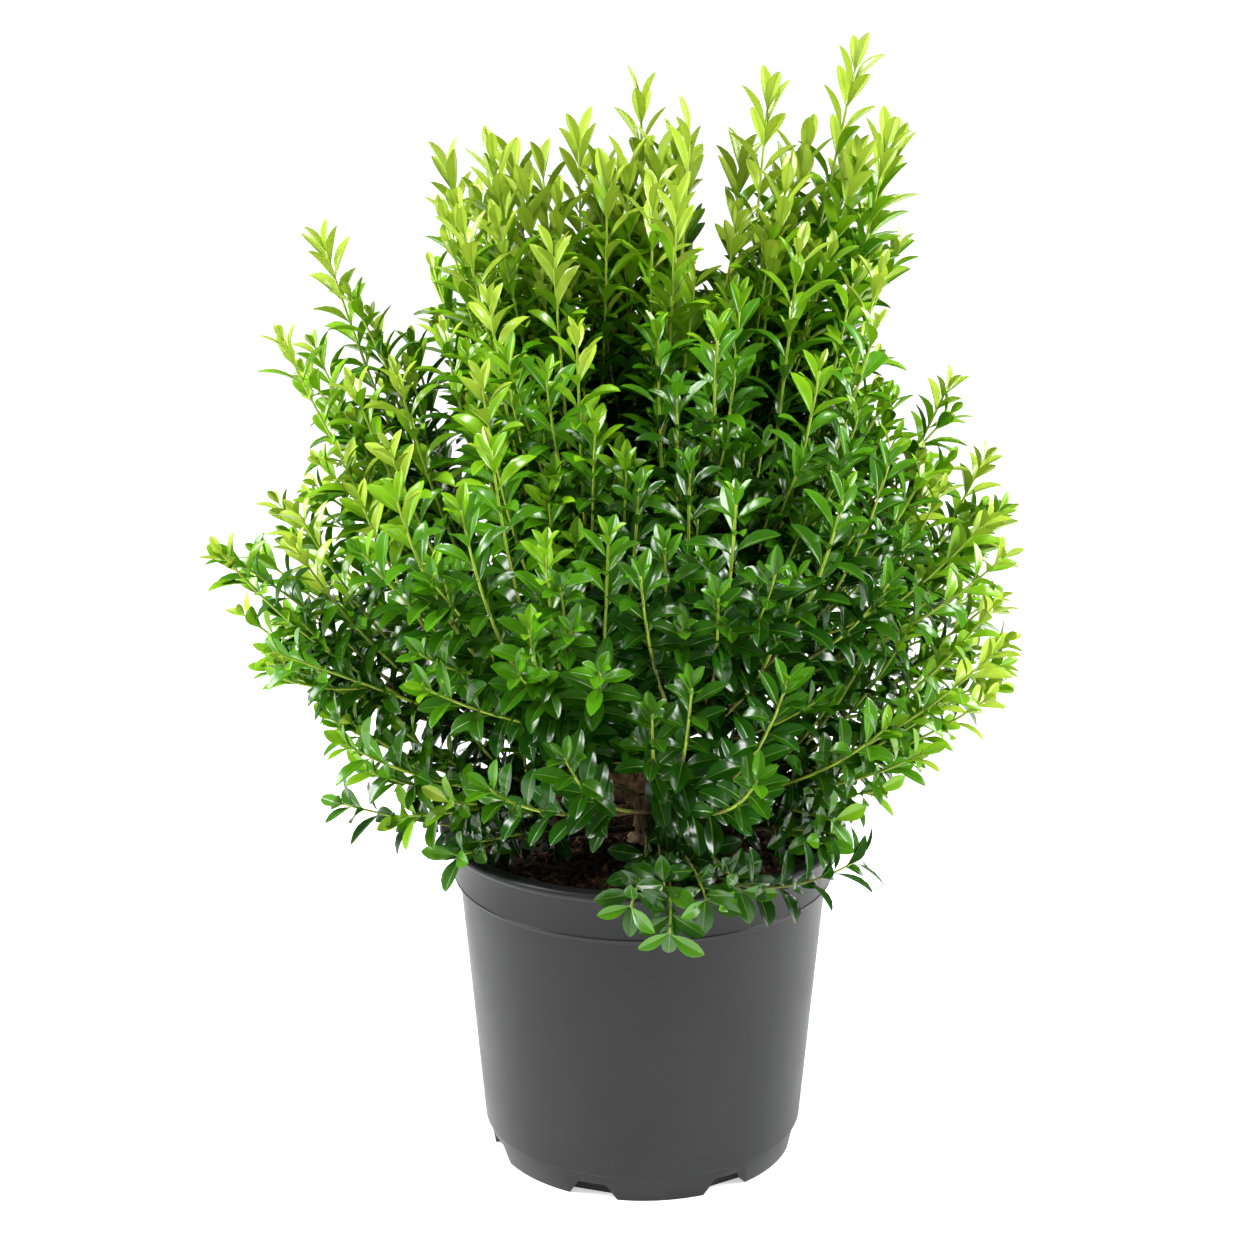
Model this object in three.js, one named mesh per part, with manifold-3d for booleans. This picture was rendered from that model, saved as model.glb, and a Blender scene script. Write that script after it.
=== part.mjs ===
// Potted inkberry holly: a dense evergreen shrub of upright leafy shoots in a tapered nursery pot.
// Millimetres, +Z up. The origin is on the ground at the pot's axis, and -Y is the front.
// Bearings are degrees round the pot from +X, anticlockwise seen from above, so 270 is the front.
import * as THREE from "three";
import { mergeVertices } from "three/addons/utils/BufferGeometryUtils.js";
import Module from "manifold-3d";

const wasm = await Module();
wasm.setup();

// Pot
const POT_HEIGHT = 228;
const LIP_RADIUS = 135;
const LIP_DEPTH = 6;
const LIP_ROUND = 2;
const LIP_CHAMFER = 1;
const BAND_TOP_RADIUS = 128;
const BAND_FOOT_RADIUS = 125.5;
const BAND_DEPTH = 36;
const BODY_TOP_RADIUS = 120.5;
const BODY_FOOT_RADIUS = 107;
const WALL = 2.6;
// Half the height of the slope where the body meets the band above it and the foot below it.
const SLOPE = 2;
const FOOT_HEIGHT = 17;
const FOOT_TOP_RADIUS = 104.5;
const FOOT_RADIUS = 101.5;
const FOOT_WIDTH = 14;
const FLOOR_UNDERSIDE = 12;
const FLOOR_TOP = 15;
const NOTCH_COUNT = 7;
const NOTCH_BEARING = 251;
const NOTCH_HEIGHT = 11;
const NOTCH_FOOT_WIDTH = 33;
const NOTCH_TOP_WIDTH = 19;
const NOTCH_OVERCUT = 1;
const POT_FACETS = 32;

// Potting mix
const SOIL_LEVEL = 210;
const GAP = 0.35;

// Trunk
const TRUNK_FOOT = new THREE.Vector3(0, 10, SOIL_LEVEL + GAP);
const TRUNK_HEIGHT = 52;
const TRUNK_LEAN = new THREE.Vector3(-4, -5, 0);
const TRUNK_FACETS = 10;
// Radius and share of the height, from the root flare to the rounded top.
const TRUNK_ROWS = [[14, 0], [10, 0.12], [8, 0.32], [7.1, 0.65], [6.5, 0.92], [4.6, 0.99]];
const TRUNK_CROWN = 1.02;

// Boughs
const BOUGH_RADIUS = 2.9;
const BOUGH_TIP_RADIUS = 2.2;
const FORK_RADIUS = 3.8;
// The swelling's rows: share of its radius, and place along the bough in radii from its middle.
const FORK_ROWS = [[1, -0.4], [0.87, 0.5]];
const FORK_GAP = 0.2;
const BOUGH_SHARE = 0.3;
const BOUGH_START_LOW = 0.22;
const BOUGH_START_HIGH = 0.93;
const BOUGH_OUTSET = 3.4;
const OUTWARD_PULL = 0.62;
const UPWARD_PULL = 0.34;
const BOUGH_FACETS = 6;
const BOUGH_TURN = 10;
const BOUGH_STEPS = 2;

// Sprays of foliage
const STEM_RADIUS = 1.5;
const STEM_TIP_RADIUS = 0.9;
const STEM_STEPS = 4;
const STEM_FACETS = 3;
const FAN_ANGLE = 33;
const FAN_PULL = 0.42;
const TUFT = 34;
const TWIGS = 2;
const TWIG_RADIUS = 1;
const TWIG_TIP_RADIUS = 0.7;
const TWIG_STEPS = 2;
const TWIG_BARE = 0.35;
const TWIG_ROOT = 0.06;
const TWIG_ANGLE = 38;
const TWIG_LOWEST = 0.28;
const TWIG_HIGHEST = 0.62;
const TWIG_LENGTH = 0.55;
const TWIG_LENGTH_SPREAD = 0.3;
const TWIG_OUT = 0.5;
const TWIG_UP = 0.45;
const TWIG_DRIFT = 0.1;
const GOLDEN_ANGLE = 137.5;
// Random lengths spread about this share of the stream, so that most are a little under full length.
const FULL_LENGTH_AT = 0.6;
const SPACE_MARGIN = 0.6;
const SPACE_SHARED = 9;
const SPACE_STEPS = 24;

// Leaves
const LEAF_LENGTH = 66;
const LEAF_WIDTH = 28;
const LEAF_SIZES = [1, 0.85, 0.7, 0.58];
const LEAF_KEEL = 1.6;
const LEAF_DROOP = 5;
const LEAF_WIDEST = 0.5;
const LEAF_SPACING = 44;
const LEAF_BARE = 0.2;
const LEAF_ANGLE_LOW = 62;
const LEAF_ANGLE_HIGH = 36;
const LEAF_LENGTH_HIGH = 0.86;
const LEAF_LENGTH_SPREAD = 0.15;
const LEAF_SINK = 0.35;
const PAIR_STAGGER = 0.25;
const PAIR_TURN_SPREAD = 0.1;
const STEM_TUFT = 3;
const TWIG_TUFT = 1;
const TUFT_ANGLE = 24;
const TUFT_LEAN = 3.5;
const TUFT_OVERSIZE = 4;
const TUFT_STEP = 0.01;
const TUFT_SINK = 1;
const UPTURN = 0.5;
const SEED = 6;

// Corners nearer than this are one corner.
const WELD = 1e-3;
// The side of a straight limb is square to this direction.
const STRAIGHT_SIDE = new THREE.Vector3(0.3, 1, 0.2);

// The crown's plan: each bough carries sprays, and each spray gives the bearing, the reach from the
// pot's axis and the height above the ground of its topmost leaf tip.
const CROWN = {
  right_spire: [[25, 156, 748], [26, 192, 690], [24, 88, 728]],
  centre_spire: [[92, 62, 726], [20, 40, 718]],
  left_spire: [[140, 54, 696], [172, 100, 688], [146, 160, 666]],
  front_left_spire: [[222, 128, 610], [254, 146, 598]],
  front_right_spire: [[288, 139, 602], [312, 158, 573]],
  back_left: [[122, 185, 632], [138, 245, 500], [150, 245, 345]],
  back_centre: [[94, 160, 652], [88, 236, 490], [104, 230, 325]],
  back_right: [[60, 190, 622], [54, 248, 470], [66, 238, 330]],
  left_shoulder: [[176, 208, 630], [190, 232, 574]],
  left_reach: [[204, 302, 456], [172, 255, 462], [190, 274, 388]],
  right_shoulder: [[346, 163, 624], [8, 204, 530]],
  right_reach: [[18, 254, 470], [28, 308, 400], [10, 268, 345]],
  front_left: [[230, 230, 510], [256, 236, 490]],
  front_right: [[318, 200, 522], [284, 216, 516]],
  left_low: [[202, 236, 292]],
  right_low: [[353, 236, 308], [324, 194, 258]],
  front_low: [[292, 226, 405], [270, 196, 214]],
};

const MATERIALS = {
  pot: new THREE.MeshStandardMaterial({ color: 0x3d3d3f, roughness: 0.55, metalness: 0 }),
  soil: new THREE.MeshStandardMaterial({ color: 0x2e2018, roughness: 1, metalness: 0 }),
  bark: new THREE.MeshStandardMaterial({ color: 0x6d5a41, roughness: 0.9, metalness: 0 }),
  foliage: new THREE.MeshStandardMaterial({ color: 0x4f9326, roughness: 0.4, metalness: 0 }),
};

// A repeatable stream of numbers from 0 to 1.
function randomStream(seed) {
  let state = seed;
  return () => {
    state = (state + 0x6d2b79f5) >>> 0;
    let mixed = Math.imul(state ^ (state >>> 15), state | 1);
    mixed = (mixed + Math.imul(mixed ^ (mixed >>> 7), mixed | 61)) ^ mixed;
    return ((mixed ^ (mixed >>> 14)) >>> 0) / 4294967296;
  };
}

const radians = THREE.MathUtils.degToRad;
const lerp = THREE.MathUtils.lerp;

// A closed three.js geometry as a solid that can be joined and cut.
function solidOf(geometry) {
  geometry.deleteAttribute("normal");
  geometry.deleteAttribute("uv");
  const merged = mergeVertices(geometry, WELD);
  const corners = merged.index.array;
  const kept = [];
  for (let i = 0; i < corners.length; i += 3) {
    const [a, b, c] = corners.slice(i, i + 3);
    if (a !== b && b !== c && c !== a) kept.push(a, b, c);
  }
  const vertProperties = merged.getAttribute("position").array;
  return new wasm.Manifold(new wasm.Mesh({ numProp: 3, vertProperties, triVerts: new Uint32Array(kept) }));
}

// A solid as a named mesh.
function meshOf(name, solid, material) {
  const { vertProperties, triVerts } = solid.getMesh();
  const geometry = new THREE.BufferGeometry();
  geometry.setAttribute("position", new THREE.BufferAttribute(vertProperties, 3));
  geometry.setIndex(new THREE.BufferAttribute(triVerts, 1));
  geometry.computeVertexNormals();
  const mesh = new THREE.Mesh(geometry, material);
  mesh.name = name;
  return mesh;
}

const joined = (solids) => wasm.Manifold.union(solids);
const apart = (a, b) => a.intersect(b).isEmpty();

// A solid with other solids cut away, without the scraps that the cut leaves.
function cutFrom(solid, others) {
  const pieces = solid.subtract(joined(others)).decompose();
  return pieces.reduce((best, piece) => (piece.volume() > best.volume() ? piece : best));
}

// A solid of revolution about the pot's axis, from [radius, height] pairs.
function turned(profile) {
  const rows = profile.map(([radius, height]) => new THREE.Vector2(radius, height));
  return solidOf(new THREE.LatheGeometry(rows, POT_FACETS).rotateX(Math.PI / 2));
}

const BAND_FOOT = POT_HEIGHT - BAND_DEPTH;
const LIP_FOOT = POT_HEIGHT - LIP_DEPTH;
const LIP_INNER_RADIUS = BAND_TOP_RADIUS - WALL;

// The pot's outside from its foot to its lip, and its inside from the lip to the floor.
function potOutside(grown) {
  return [
    [FOOT_RADIUS + grown, -grown],
    [FOOT_TOP_RADIUS + grown, FOOT_HEIGHT],
    [BODY_FOOT_RADIUS + grown, FOOT_HEIGHT + SLOPE],
    [BODY_TOP_RADIUS + grown, BAND_FOOT - SLOPE],
    [BAND_FOOT_RADIUS + grown, BAND_FOOT + SLOPE],
    [BAND_TOP_RADIUS + grown, LIP_FOOT - LIP_CHAMFER],
    [LIP_RADIUS - LIP_CHAMFER + grown, LIP_FOOT],
    [LIP_RADIUS + grown, LIP_FOOT + LIP_ROUND],
    [LIP_RADIUS - LIP_ROUND + grown, POT_HEIGHT + grown],
  ];
}

function potInside(shrunk) {
  return [
    [LIP_INNER_RADIUS - shrunk, POT_HEIGHT + shrunk],
    [BAND_FOOT_RADIUS - WALL - shrunk, BAND_FOOT + SLOPE],
    [BODY_TOP_RADIUS - WALL - shrunk, BAND_FOOT - SLOPE],
    [BODY_FOOT_RADIUS - WALL - shrunk, FLOOR_TOP + shrunk],
  ];
}

// Tapered notches round the foot, where the pot drains.
function footNotch(bearing) {
  const outline = new THREE.Shape([
    new THREE.Vector2(-NOTCH_FOOT_WIDTH / 2, -NOTCH_OVERCUT),
    new THREE.Vector2(NOTCH_FOOT_WIDTH / 2, -NOTCH_OVERCUT),
    new THREE.Vector2(NOTCH_TOP_WIDTH / 2, NOTCH_HEIGHT),
    new THREE.Vector2(-NOTCH_TOP_WIDTH / 2, NOTCH_HEIGHT),
  ]);
  const block = new THREE.ExtrudeGeometry(outline, { depth: 2 * FOOT_WIDTH, bevelEnabled: false });
  block.rotateX(Math.PI / 2).rotateZ(radians(bearing + 90));
  const middle = FOOT_RADIUS - FOOT_WIDTH;
  const out = new THREE.Vector3(Math.cos(radians(bearing)), Math.sin(radians(bearing)), 0);
  block.translate(...out.multiplyScalar(middle - FOOT_WIDTH / 2).toArray());
  return solidOf(block);
}

function makePot() {
  const underside = [[0, FLOOR_TOP], [0, FLOOR_UNDERSIDE], [FOOT_RADIUS - FOOT_WIDTH, FLOOR_UNDERSIDE]];
  const foot = [[FOOT_RADIUS - FOOT_WIDTH, 0]];
  const shell = turned([...underside.slice(1), ...foot, ...potOutside(0), ...potInside(0), underside[0]]);
  const notches = [];
  for (let i = 0; i < NOTCH_COUNT; i++) notches.push(footNotch(NOTCH_BEARING + (i * 360) / NOTCH_COUNT));
  return shell.subtract(joined(notches));
}

function makeSoil() {
  const wall = potInside(GAP).slice(1).reverse();
  const bandShare = (SOIL_LEVEL - BAND_FOOT) / BAND_DEPTH;
  const topRadius = lerp(BAND_FOOT_RADIUS, BAND_TOP_RADIUS, bandShare) - WALL - GAP;
  return turned([[0, FLOOR_TOP + GAP], ...wall, [topRadius, SOIL_LEVEL], [0, SOIL_LEVEL]]);
}

// The space that pot and potting mix fill, a little larger than they are.
function makePotSpace() {
  const inside = [[LIP_INNER_RADIUS - SPACE_MARGIN, POT_HEIGHT + SPACE_MARGIN]];
  inside.push([LIP_INNER_RADIUS - SPACE_MARGIN, SOIL_LEVEL + SPACE_MARGIN], [0, SOIL_LEVEL + SPACE_MARGIN]);
  return turned([[0, -SPACE_MARGIN], ...potOutside(SPACE_MARGIN), ...inside]);
}

// The place and the three directions of a curve at t. The curve is plane, so its side never turns.
function frameAt(curve, t) {
  const along = curve.getTangent(t);
  const bend = curve.v1.clone().sub(curve.v0);
  const side = new THREE.Vector3().crossVectors(bend, curve.v2.clone().sub(curve.v0));
  if (side.lengthSq() < 1) side.crossVectors(along, STRAIGHT_SIDE);
  side.normalize();
  const over = new THREE.Vector3().crossVectors(side, along);
  return { at: curve.getPoint(t), along, side, over };
}

// A limb of round section along a curve, from [radius, t] pairs. Its facets start at the turn given.
function limb(curve, profile, facets, turn = 0) {
  const rows = profile.map(([radius, t]) => new THREE.Vector2(radius, t));
  const lathe = new THREE.LatheGeometry(rows, facets, turn);
  const corner = lathe.getAttribute("position");
  for (let i = 0; i < corner.count; i++) {
    const { at, side, over } = frameAt(curve, corner.getY(i));
    at.addScaledVector(side, corner.getX(i)).addScaledVector(over, corner.getZ(i));
    corner.setXYZ(i, at.x, at.y, at.z);
  }
  return solidOf(lathe);
}

// The rows of an evenly tapering limb, closed at both ends. Its first row stands at t = first.
function taper(radius, tipRadius, steps, first) {
  const rows = [[0, 0]];
  for (let i = 0; i <= steps; i++) {
    rows.push([lerp(radius, tipRadius, i / steps), Math.max(first, i / steps)]);
  }
  rows.push([0, 1]);
  return rows;
}

const TRUNK_AXIS = new THREE.QuadraticBezierCurve3(
  TRUNK_FOOT,
  TRUNK_FOOT.clone().add(new THREE.Vector3(0, 0, TRUNK_HEIGHT / 2)),
  TRUNK_FOOT.clone().add(TRUNK_LEAN).add(new THREE.Vector3(0, 0, TRUNK_HEIGHT)),
);

// The trunk flares into its roots at the soil and ends rounded where the boughs leave it.
function makeTrunk(grown) {
  const rows = TRUNK_ROWS.map(([radius, share]) => [radius + grown, share]);
  return limb(TRUNK_AXIS, [[0, 0], ...rows, [0, TRUNK_CROWN]], TRUNK_FACETS);
}

// The first share of a bend, as a bend of its own.
function firstPart(curve, share) {
  const control = curve.v0.clone().lerp(curve.v1, share);
  return new THREE.QuadraticBezierCurve3(curve.v0, control, curve.getPoint(share));
}

function tipOf([bearing, reach, height]) {
  return new THREE.Vector3(reach * Math.cos(radians(bearing)), reach * Math.sin(radians(bearing)), height);
}

// A bough leaves the trunk outwards, then rises towards the middle of the tips that it carries.
// The lower its tips, the lower on the trunk it starts.
function boughAxis(tips) {
  const middle = tips.reduce((sum, tip) => sum.add(tip), new THREE.Vector3()).divideScalar(tips.length);
  const rise = middle.clone().sub(TRUNK_FOOT);
  const steepness = rise.z / rise.length();
  const start = TRUNK_AXIS.getPoint(lerp(BOUGH_START_LOW, BOUGH_START_HIGH, steepness));
  const outset = new THREE.Vector3(rise.x, rise.y, 0).setLength(BOUGH_OUTSET);
  start.add(outset);
  const way = middle.clone().sub(start);
  const pull = new THREE.Vector3(OUTWARD_PULL, OUTWARD_PULL, UPWARD_PULL);
  const whole = new THREE.QuadraticBezierCurve3(start, way.multiply(pull).add(start), middle);
  return firstPart(whole, BOUGH_SHARE);
}

// A tapering bough that swells at its fork.
function makeBough(axis, grown) {
  const length = axis.getLength();
  const rows = [[0, 0]];
  for (let i = 0; i <= BOUGH_STEPS; i++) {
    const share = i / BOUGH_STEPS;
    rows.push([lerp(BOUGH_RADIUS, BOUGH_TIP_RADIUS, share) + grown, share * (1 - FORK_RADIUS / length)]);
  }
  for (const [share, place] of FORK_ROWS) {
    rows.push([share * FORK_RADIUS + grown, 1 + (place * FORK_RADIUS) / length]);
  }
  rows.push([0, 1 + (FORK_RADIUS + grown) / length]);
  return limb(axis, rows, BOUGH_FACETS, radians(BOUGH_TURN));
}

// Where each spray leaves the fork: spread evenly round the bough, each on its own tip's side.
function fanDirections(axis, tips) {
  const { at, along, side, over } = frameAt(axis, 1);
  if (tips.length === 1) return [along];
  const turns = tips.map((tip) => {
    const way = tip.clone().sub(at);
    return Math.atan2(way.dot(over), way.dot(side));
  });
  const order = turns.map((_, i) => i).sort((a, b) => turns[a] - turns[b]);
  const step = (2 * Math.PI) / tips.length;
  const offset = order.reduce((sum, i, rank) => sum + turns[i] - rank * step, 0) / tips.length;
  const directions = [];
  order.forEach((i, rank) => {
    const turn = offset + rank * step;
    const sideways = side.clone().multiplyScalar(Math.cos(turn)).addScaledVector(over, Math.sin(turn));
    directions[i] = along.clone().addScaledVector(sideways, Math.tan(radians(FAN_ANGLE))).normalize();
  });
  return directions;
}

// A spray's axis from the fork to its topmost leaf tip.
function sprayAxis(fork, direction, tip) {
  const start = fork.clone().addScaledVector(direction, FORK_RADIUS + FORK_GAP);
  const control = start.clone().addScaledVector(direction, FAN_PULL * tip.distanceTo(start));
  return new THREE.QuadraticBezierCurve3(start, control, tip);
}

// A direction that leaves a frame's axis at an angle, on the side given by a turn round the axis.
function leaning({ along, side, over }, angle, turn) {
  const sideways = side.clone().multiplyScalar(Math.cos(turn)).addScaledVector(over, Math.sin(turn));
  return along.clone().multiplyScalar(Math.cos(angle)).addScaledVector(sideways, Math.sin(angle));
}

// A pointed, drooping blade with a keel below, that starts inside its twig and runs one way from there.
function makeLeaf(root, direction, length, twigAlong) {
  const sink = Math.min(LEAF_SINK / Math.sin(direction.angleTo(twigAlong)), TUFT_SINK);
  const upper = twigAlong.clone().add(new THREE.Vector3(0, 0, UPTURN));
  upper.addScaledVector(direction, -upper.dot(direction)).normalize();
  const across = new THREE.Vector3().crossVectors(upper, direction);
  const size = length / LEAF_LENGTH;
  const rows = [[0, -sink], [1, LEAF_WIDEST * length], [0, length]];
  const blade = new THREE.LatheGeometry(rows.map((row) => new THREE.Vector2(...row)), 3);
  const corner = blade.getAttribute("position");
  for (let i = 0; i < corner.count; i++) {
    const [x, y, z] = [corner.getX(i), corner.getY(i), corner.getZ(i)];
    const droop = y === length ? size * LEAF_DROOP : 0;
    const keel = z > 0.5 ? LEAF_KEEL : 0;
    const place = root.clone().addScaledVector(direction, y);
    place.addScaledVector(across, Math.sign(Math.round(x)) * (size * LEAF_WIDTH) / 2);
    place.addScaledVector(upper, -droop - keel);
    corner.setXYZ(i, place.x, place.y, place.z);
  }
  return { solid: solidOf(blade), corners: cornersOf(blade) };
}

function cornersOf(geometry) {
  const corner = geometry.getAttribute("position");
  const places = [];
  for (let i = 0; i < corner.count; i++) places.push(new THREE.Vector3().fromBufferAttribute(corner, i));
  return places;
}

// A twig with a flat side towards the leaf that leaves it at the first turn.
function twigOf(curve, rows, firstTurn) {
  return limb(curve, rows, STEM_FACETS, Math.PI / 2 - Math.PI / STEM_FACETS - firstTurn);
}

// A twig's frame at t, on the straight lengths that the twig is made of.
function twigFrame(curve, t, steps) {
  const step = Math.min(Math.floor(t * steps), steps - 1);
  const frame = frameAt(curve, t);
  const from = curve.getPoint(step / steps);
  frame.at.copy(from).lerp(curve.getPoint((step + 1) / steps), t * steps - step);
  return frame;
}

// Pairs of leaves up a twig, each pair at right angles to the last, that close up towards its tip,
// and a tuft of leaves that carries the twig on to its leaf tip.
function leafPlaces(length, bare, firstTurn, tuftLeaves, random) {
  const pairs = Math.max(1, Math.round(((1 - bare) * length) / LEAF_SPACING));
  const places = [];
  for (let pair = 0; pair < pairs; pair++) {
    const share = pair / pairs;
    const angle = radians(lerp(LEAF_ANGLE_LOW, LEAF_ANGLE_HIGH, share));
    const fullLength = LEAF_LENGTH * lerp(1, LEAF_LENGTH_HIGH, share);
    for (const half of [0, 1]) {
      const t = lerp(bare, 1, (pair + PAIR_STAGGER * half) / pairs);
      const turn = firstTurn + (pair / 2 + half) * Math.PI + PAIR_TURN_SPREAD * (random() - 0.5);
      const spread = LEAF_LENGTH_SPREAD * (random() - FULL_LENGTH_AT);
      places.push({ t, turn, angle, length: fullLength * (1 + spread) });
    }
  }
  for (let i = 0; i < tuftLeaves; i++) {
    const angle = radians(i === 0 ? TUFT_LEAN : TUFT_ANGLE);
    const length = i === 0 ? TUFT : TUFT + TUFT_OVERSIZE;
    places.push({ t: 1 - TUFT_STEP * i, turn: firstTurn + i * Math.PI, angle, length });
  }
  return places;
}

// Side twigs leave a spray's stem round a golden angle, and bend up to follow it.
function twigAxes(axis, random) {
  const length = axis.getLength();
  const firstTurn = random() * 2 * Math.PI;
  const axes = [];
  for (let i = 0; i < TWIGS; i++) {
    const t = lerp(TWIG_LOWEST, TWIG_HIGHEST, (i + random()) / TWIGS);
    const frame = twigFrame(axis, t, STEM_STEPS);
    const direction = leaning(frame, radians(TWIG_ANGLE), firstTurn + radians(GOLDEN_ANGLE) * i);
    const reach = length * (1 - t) * TWIG_LENGTH * (1 + TWIG_LENGTH_SPREAD * (random() - FULL_LENGTH_AT));
    const control = frame.at.clone().addScaledVector(direction, TWIG_OUT * reach);
    const tip = control.clone().addScaledVector(frame.along, TWIG_UP * reach);
    tip.addScaledVector(direction, TWIG_DRIFT * reach);
    axes.push(new THREE.QuadraticBezierCurve3(frame.at, control, tip));
  }
  return axes;
}

// True where every point is about as near to the spray's own axis as to any other spray's.
function inOwnSpace(points, own, others) {
  const nearest = (point, places) => Math.min(...places.map((place) => place.distanceTo(point)));
  return points.every((point) => nearest(point, own) < nearest(point, others) + SPACE_SHARED);
}

// One spray: a stem, its side twigs and their leaves in one solid. What would leave the spray's space
// or touch a limb, the pot or the potting mix is left out.
function makeSpray(spray, others, keepOut, random) {
  const fits = (points, solid) =>
    inOwnSpace(points, spray.places, others) && keepOut.every((other) => apart(solid, other));
  const stem = firstPart(spray.axis, 1 - TUFT / spray.axis.getLength());
  const stemTurn = random() * Math.PI;
  const pieces = [twigOf(stem, taper(STEM_RADIUS, STEM_TIP_RADIUS, STEM_STEPS, 0), stemTurn)];
  const shoots = [{ curve: stem, bare: LEAF_BARE, steps: STEM_STEPS, firstTurn: stemTurn, tuft: STEM_TUFT }];
  for (const axis of twigAxes(stem, random)) {
    const curve = firstPart(axis, 1 - TUFT / axis.getLength());
    const firstTurn = random() * Math.PI;
    const solid = twigOf(curve, taper(TWIG_RADIUS, TWIG_TIP_RADIUS, TWIG_STEPS, TWIG_ROOT), firstTurn);
    if (!fits(curve.getPoints(TWIG_STEPS), solid)) continue;
    pieces.push(solid);
    shoots.push({ curve, bare: TWIG_BARE, steps: TWIG_STEPS, firstTurn, tuft: TWIG_TUFT });
  }
  const leaves = [];
  shoots.forEach(({ curve, bare, steps, firstTurn, tuft }, own) => {
    for (const { t, turn, angle, length } of leafPlaces(curve.getLength(), bare, firstTurn, tuft, random)) {
      const frame = twigFrame(curve, t, steps);
      const nearby = [...pieces.filter((_, i) => i !== own), ...leaves];
      for (const size of LEAF_SIZES) {
        const leaf = makeLeaf(frame.at, leaning(frame, angle, turn), size * length, frame.along);
        if (!nearby.every((other) => apart(leaf.solid, other))) continue;
        if (!fits(leaf.corners, leaf.solid)) continue;
        leaves.push(leaf.solid);
        break;
      }
    }
  });
  return joined([...pieces, ...leaves]);
}

const plant = new THREE.Group();
plant.add(meshOf("pot", makePot(), MATERIALS.pot));
plant.add(meshOf("soil", makeSoil(), MATERIALS.soil));
plant.add(meshOf("trunk", makeTrunk(0), MATERIALS.bark));

const sprays = [];
const limbs = [makeTrunk(GAP)];
for (const [name, plan] of Object.entries(CROWN)) {
  const tips = plan.map(tipOf);
  const axis = boughAxis(tips);
  plant.add(meshOf(`bough_${name}`, cutFrom(makeBough(axis, 0), limbs), MATERIALS.bark));
  limbs.push(makeBough(axis, GAP));
  const directions = fanDirections(axis, tips);
  tips.forEach((tip, i) => {
    const spray = { name: `foliage_${name}_${i + 1}`, axis: sprayAxis(axis.v2, directions[i], tip) };
    spray.places = spray.axis.getPoints(SPACE_STEPS);
    sprays.push(spray);
  });
}

const keepOut = [joined([makePotSpace(), ...limbs])];
sprays.forEach((spray, i) => {
  const others = sprays.filter((other) => other !== spray).flatMap((other) => other.places);
  const solid = makeSpray(spray, others, keepOut, randomStream(SEED + i));
  keepOut.push(solid);
  plant.add(meshOf(spray.name, solid, MATERIALS.foliage));
});

export default plant;
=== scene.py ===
"""A potted inkberry holly: its pot, potting mix, bark, twigs and leaves, built round the fixed frame."""

import math
from typing import NamedTuple

import bpy
import numpy as np
from bpy.props import FloatProperty, FloatVectorProperty, IntProperty, PointerProperty
from bpy.types import Operator, Panel, PropertyGroup
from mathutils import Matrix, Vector


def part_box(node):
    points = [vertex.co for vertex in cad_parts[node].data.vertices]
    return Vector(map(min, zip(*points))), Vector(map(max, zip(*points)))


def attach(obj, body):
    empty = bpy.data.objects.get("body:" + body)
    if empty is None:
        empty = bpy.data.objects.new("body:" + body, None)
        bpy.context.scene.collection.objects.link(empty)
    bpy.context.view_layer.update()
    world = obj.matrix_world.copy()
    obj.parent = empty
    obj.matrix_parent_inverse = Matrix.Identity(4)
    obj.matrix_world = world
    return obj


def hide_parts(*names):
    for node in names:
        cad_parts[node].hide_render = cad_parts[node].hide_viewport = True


bl_info = {
    "name": "Potted inkberry holly",
    "version": (1, 0, 0),
    "blender": (4, 5, 0),
    "location": "3D View > Sidebar > Holly",
    "description": "Builds a potted evergreen shrub leaf by leaf",
    "category": "Object",
}

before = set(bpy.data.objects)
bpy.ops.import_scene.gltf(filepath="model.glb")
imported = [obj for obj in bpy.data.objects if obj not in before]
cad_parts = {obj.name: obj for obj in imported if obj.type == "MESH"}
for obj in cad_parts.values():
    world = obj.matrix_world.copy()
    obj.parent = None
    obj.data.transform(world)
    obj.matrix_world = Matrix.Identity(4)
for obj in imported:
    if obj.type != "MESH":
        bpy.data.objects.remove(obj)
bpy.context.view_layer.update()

# Growth is worked out in millimetres, and meshes are in metres.
MM = 0.001
CROWN_MIDDLE = (0, 0, 0.45)
UP = np.array([0.0, 0.0, 1.0])

POT_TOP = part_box("pot")[1]
SOIL_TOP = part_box("soil")[1].z
TRUNK_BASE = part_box("trunk")[0].z
FOLIAGE_NODES = [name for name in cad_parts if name.startswith("foliage_")]
LIMB_NODES = [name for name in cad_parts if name.startswith("bough_")] + ["trunk"]

# The pot's other sizes, in millimetres
POT_HEIGHT = POT_TOP.z / MM
LIP_RADIUS = POT_TOP.x / MM
LIP_DEPTH = 6
BAND_TOP_RADIUS = 128
BAND_FOOT_RADIUS = 125.5
BAND_FOOT = POT_HEIGHT - 36
BODY_TOP_RADIUS = 121.9
BODY_FOOT_RADIUS = 107
SLOPE = 2
WALL = 2.6
FOOT_HEIGHT = 17
FOOT_TOP_RADIUS = 104.5
FOOT_RADIUS = 101.5
FOOT_WIDTH = 14
FLOOR_UNDERSIDE = 12
FLOOR_TOP = 15
NOTCH_COUNT = 7
NOTCH_BEARING = 251
NOTCH_HEIGHT = 11
NOTCH_FOOT_WIDTH = 33
NOTCH_TOP_WIDTH = 19
NOTCH_DEPTH = 9
BEAD = 0.5
BEAD_END = 2.5 * BEAD
LIP_FOOT = POT_HEIGHT - LIP_DEPTH
LIP_NECK = 1
LIP_UNDERCUT = 1.6
LIP_STEP = 0.5
LIP_TURNS = range(-60, 91, 30)
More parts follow.
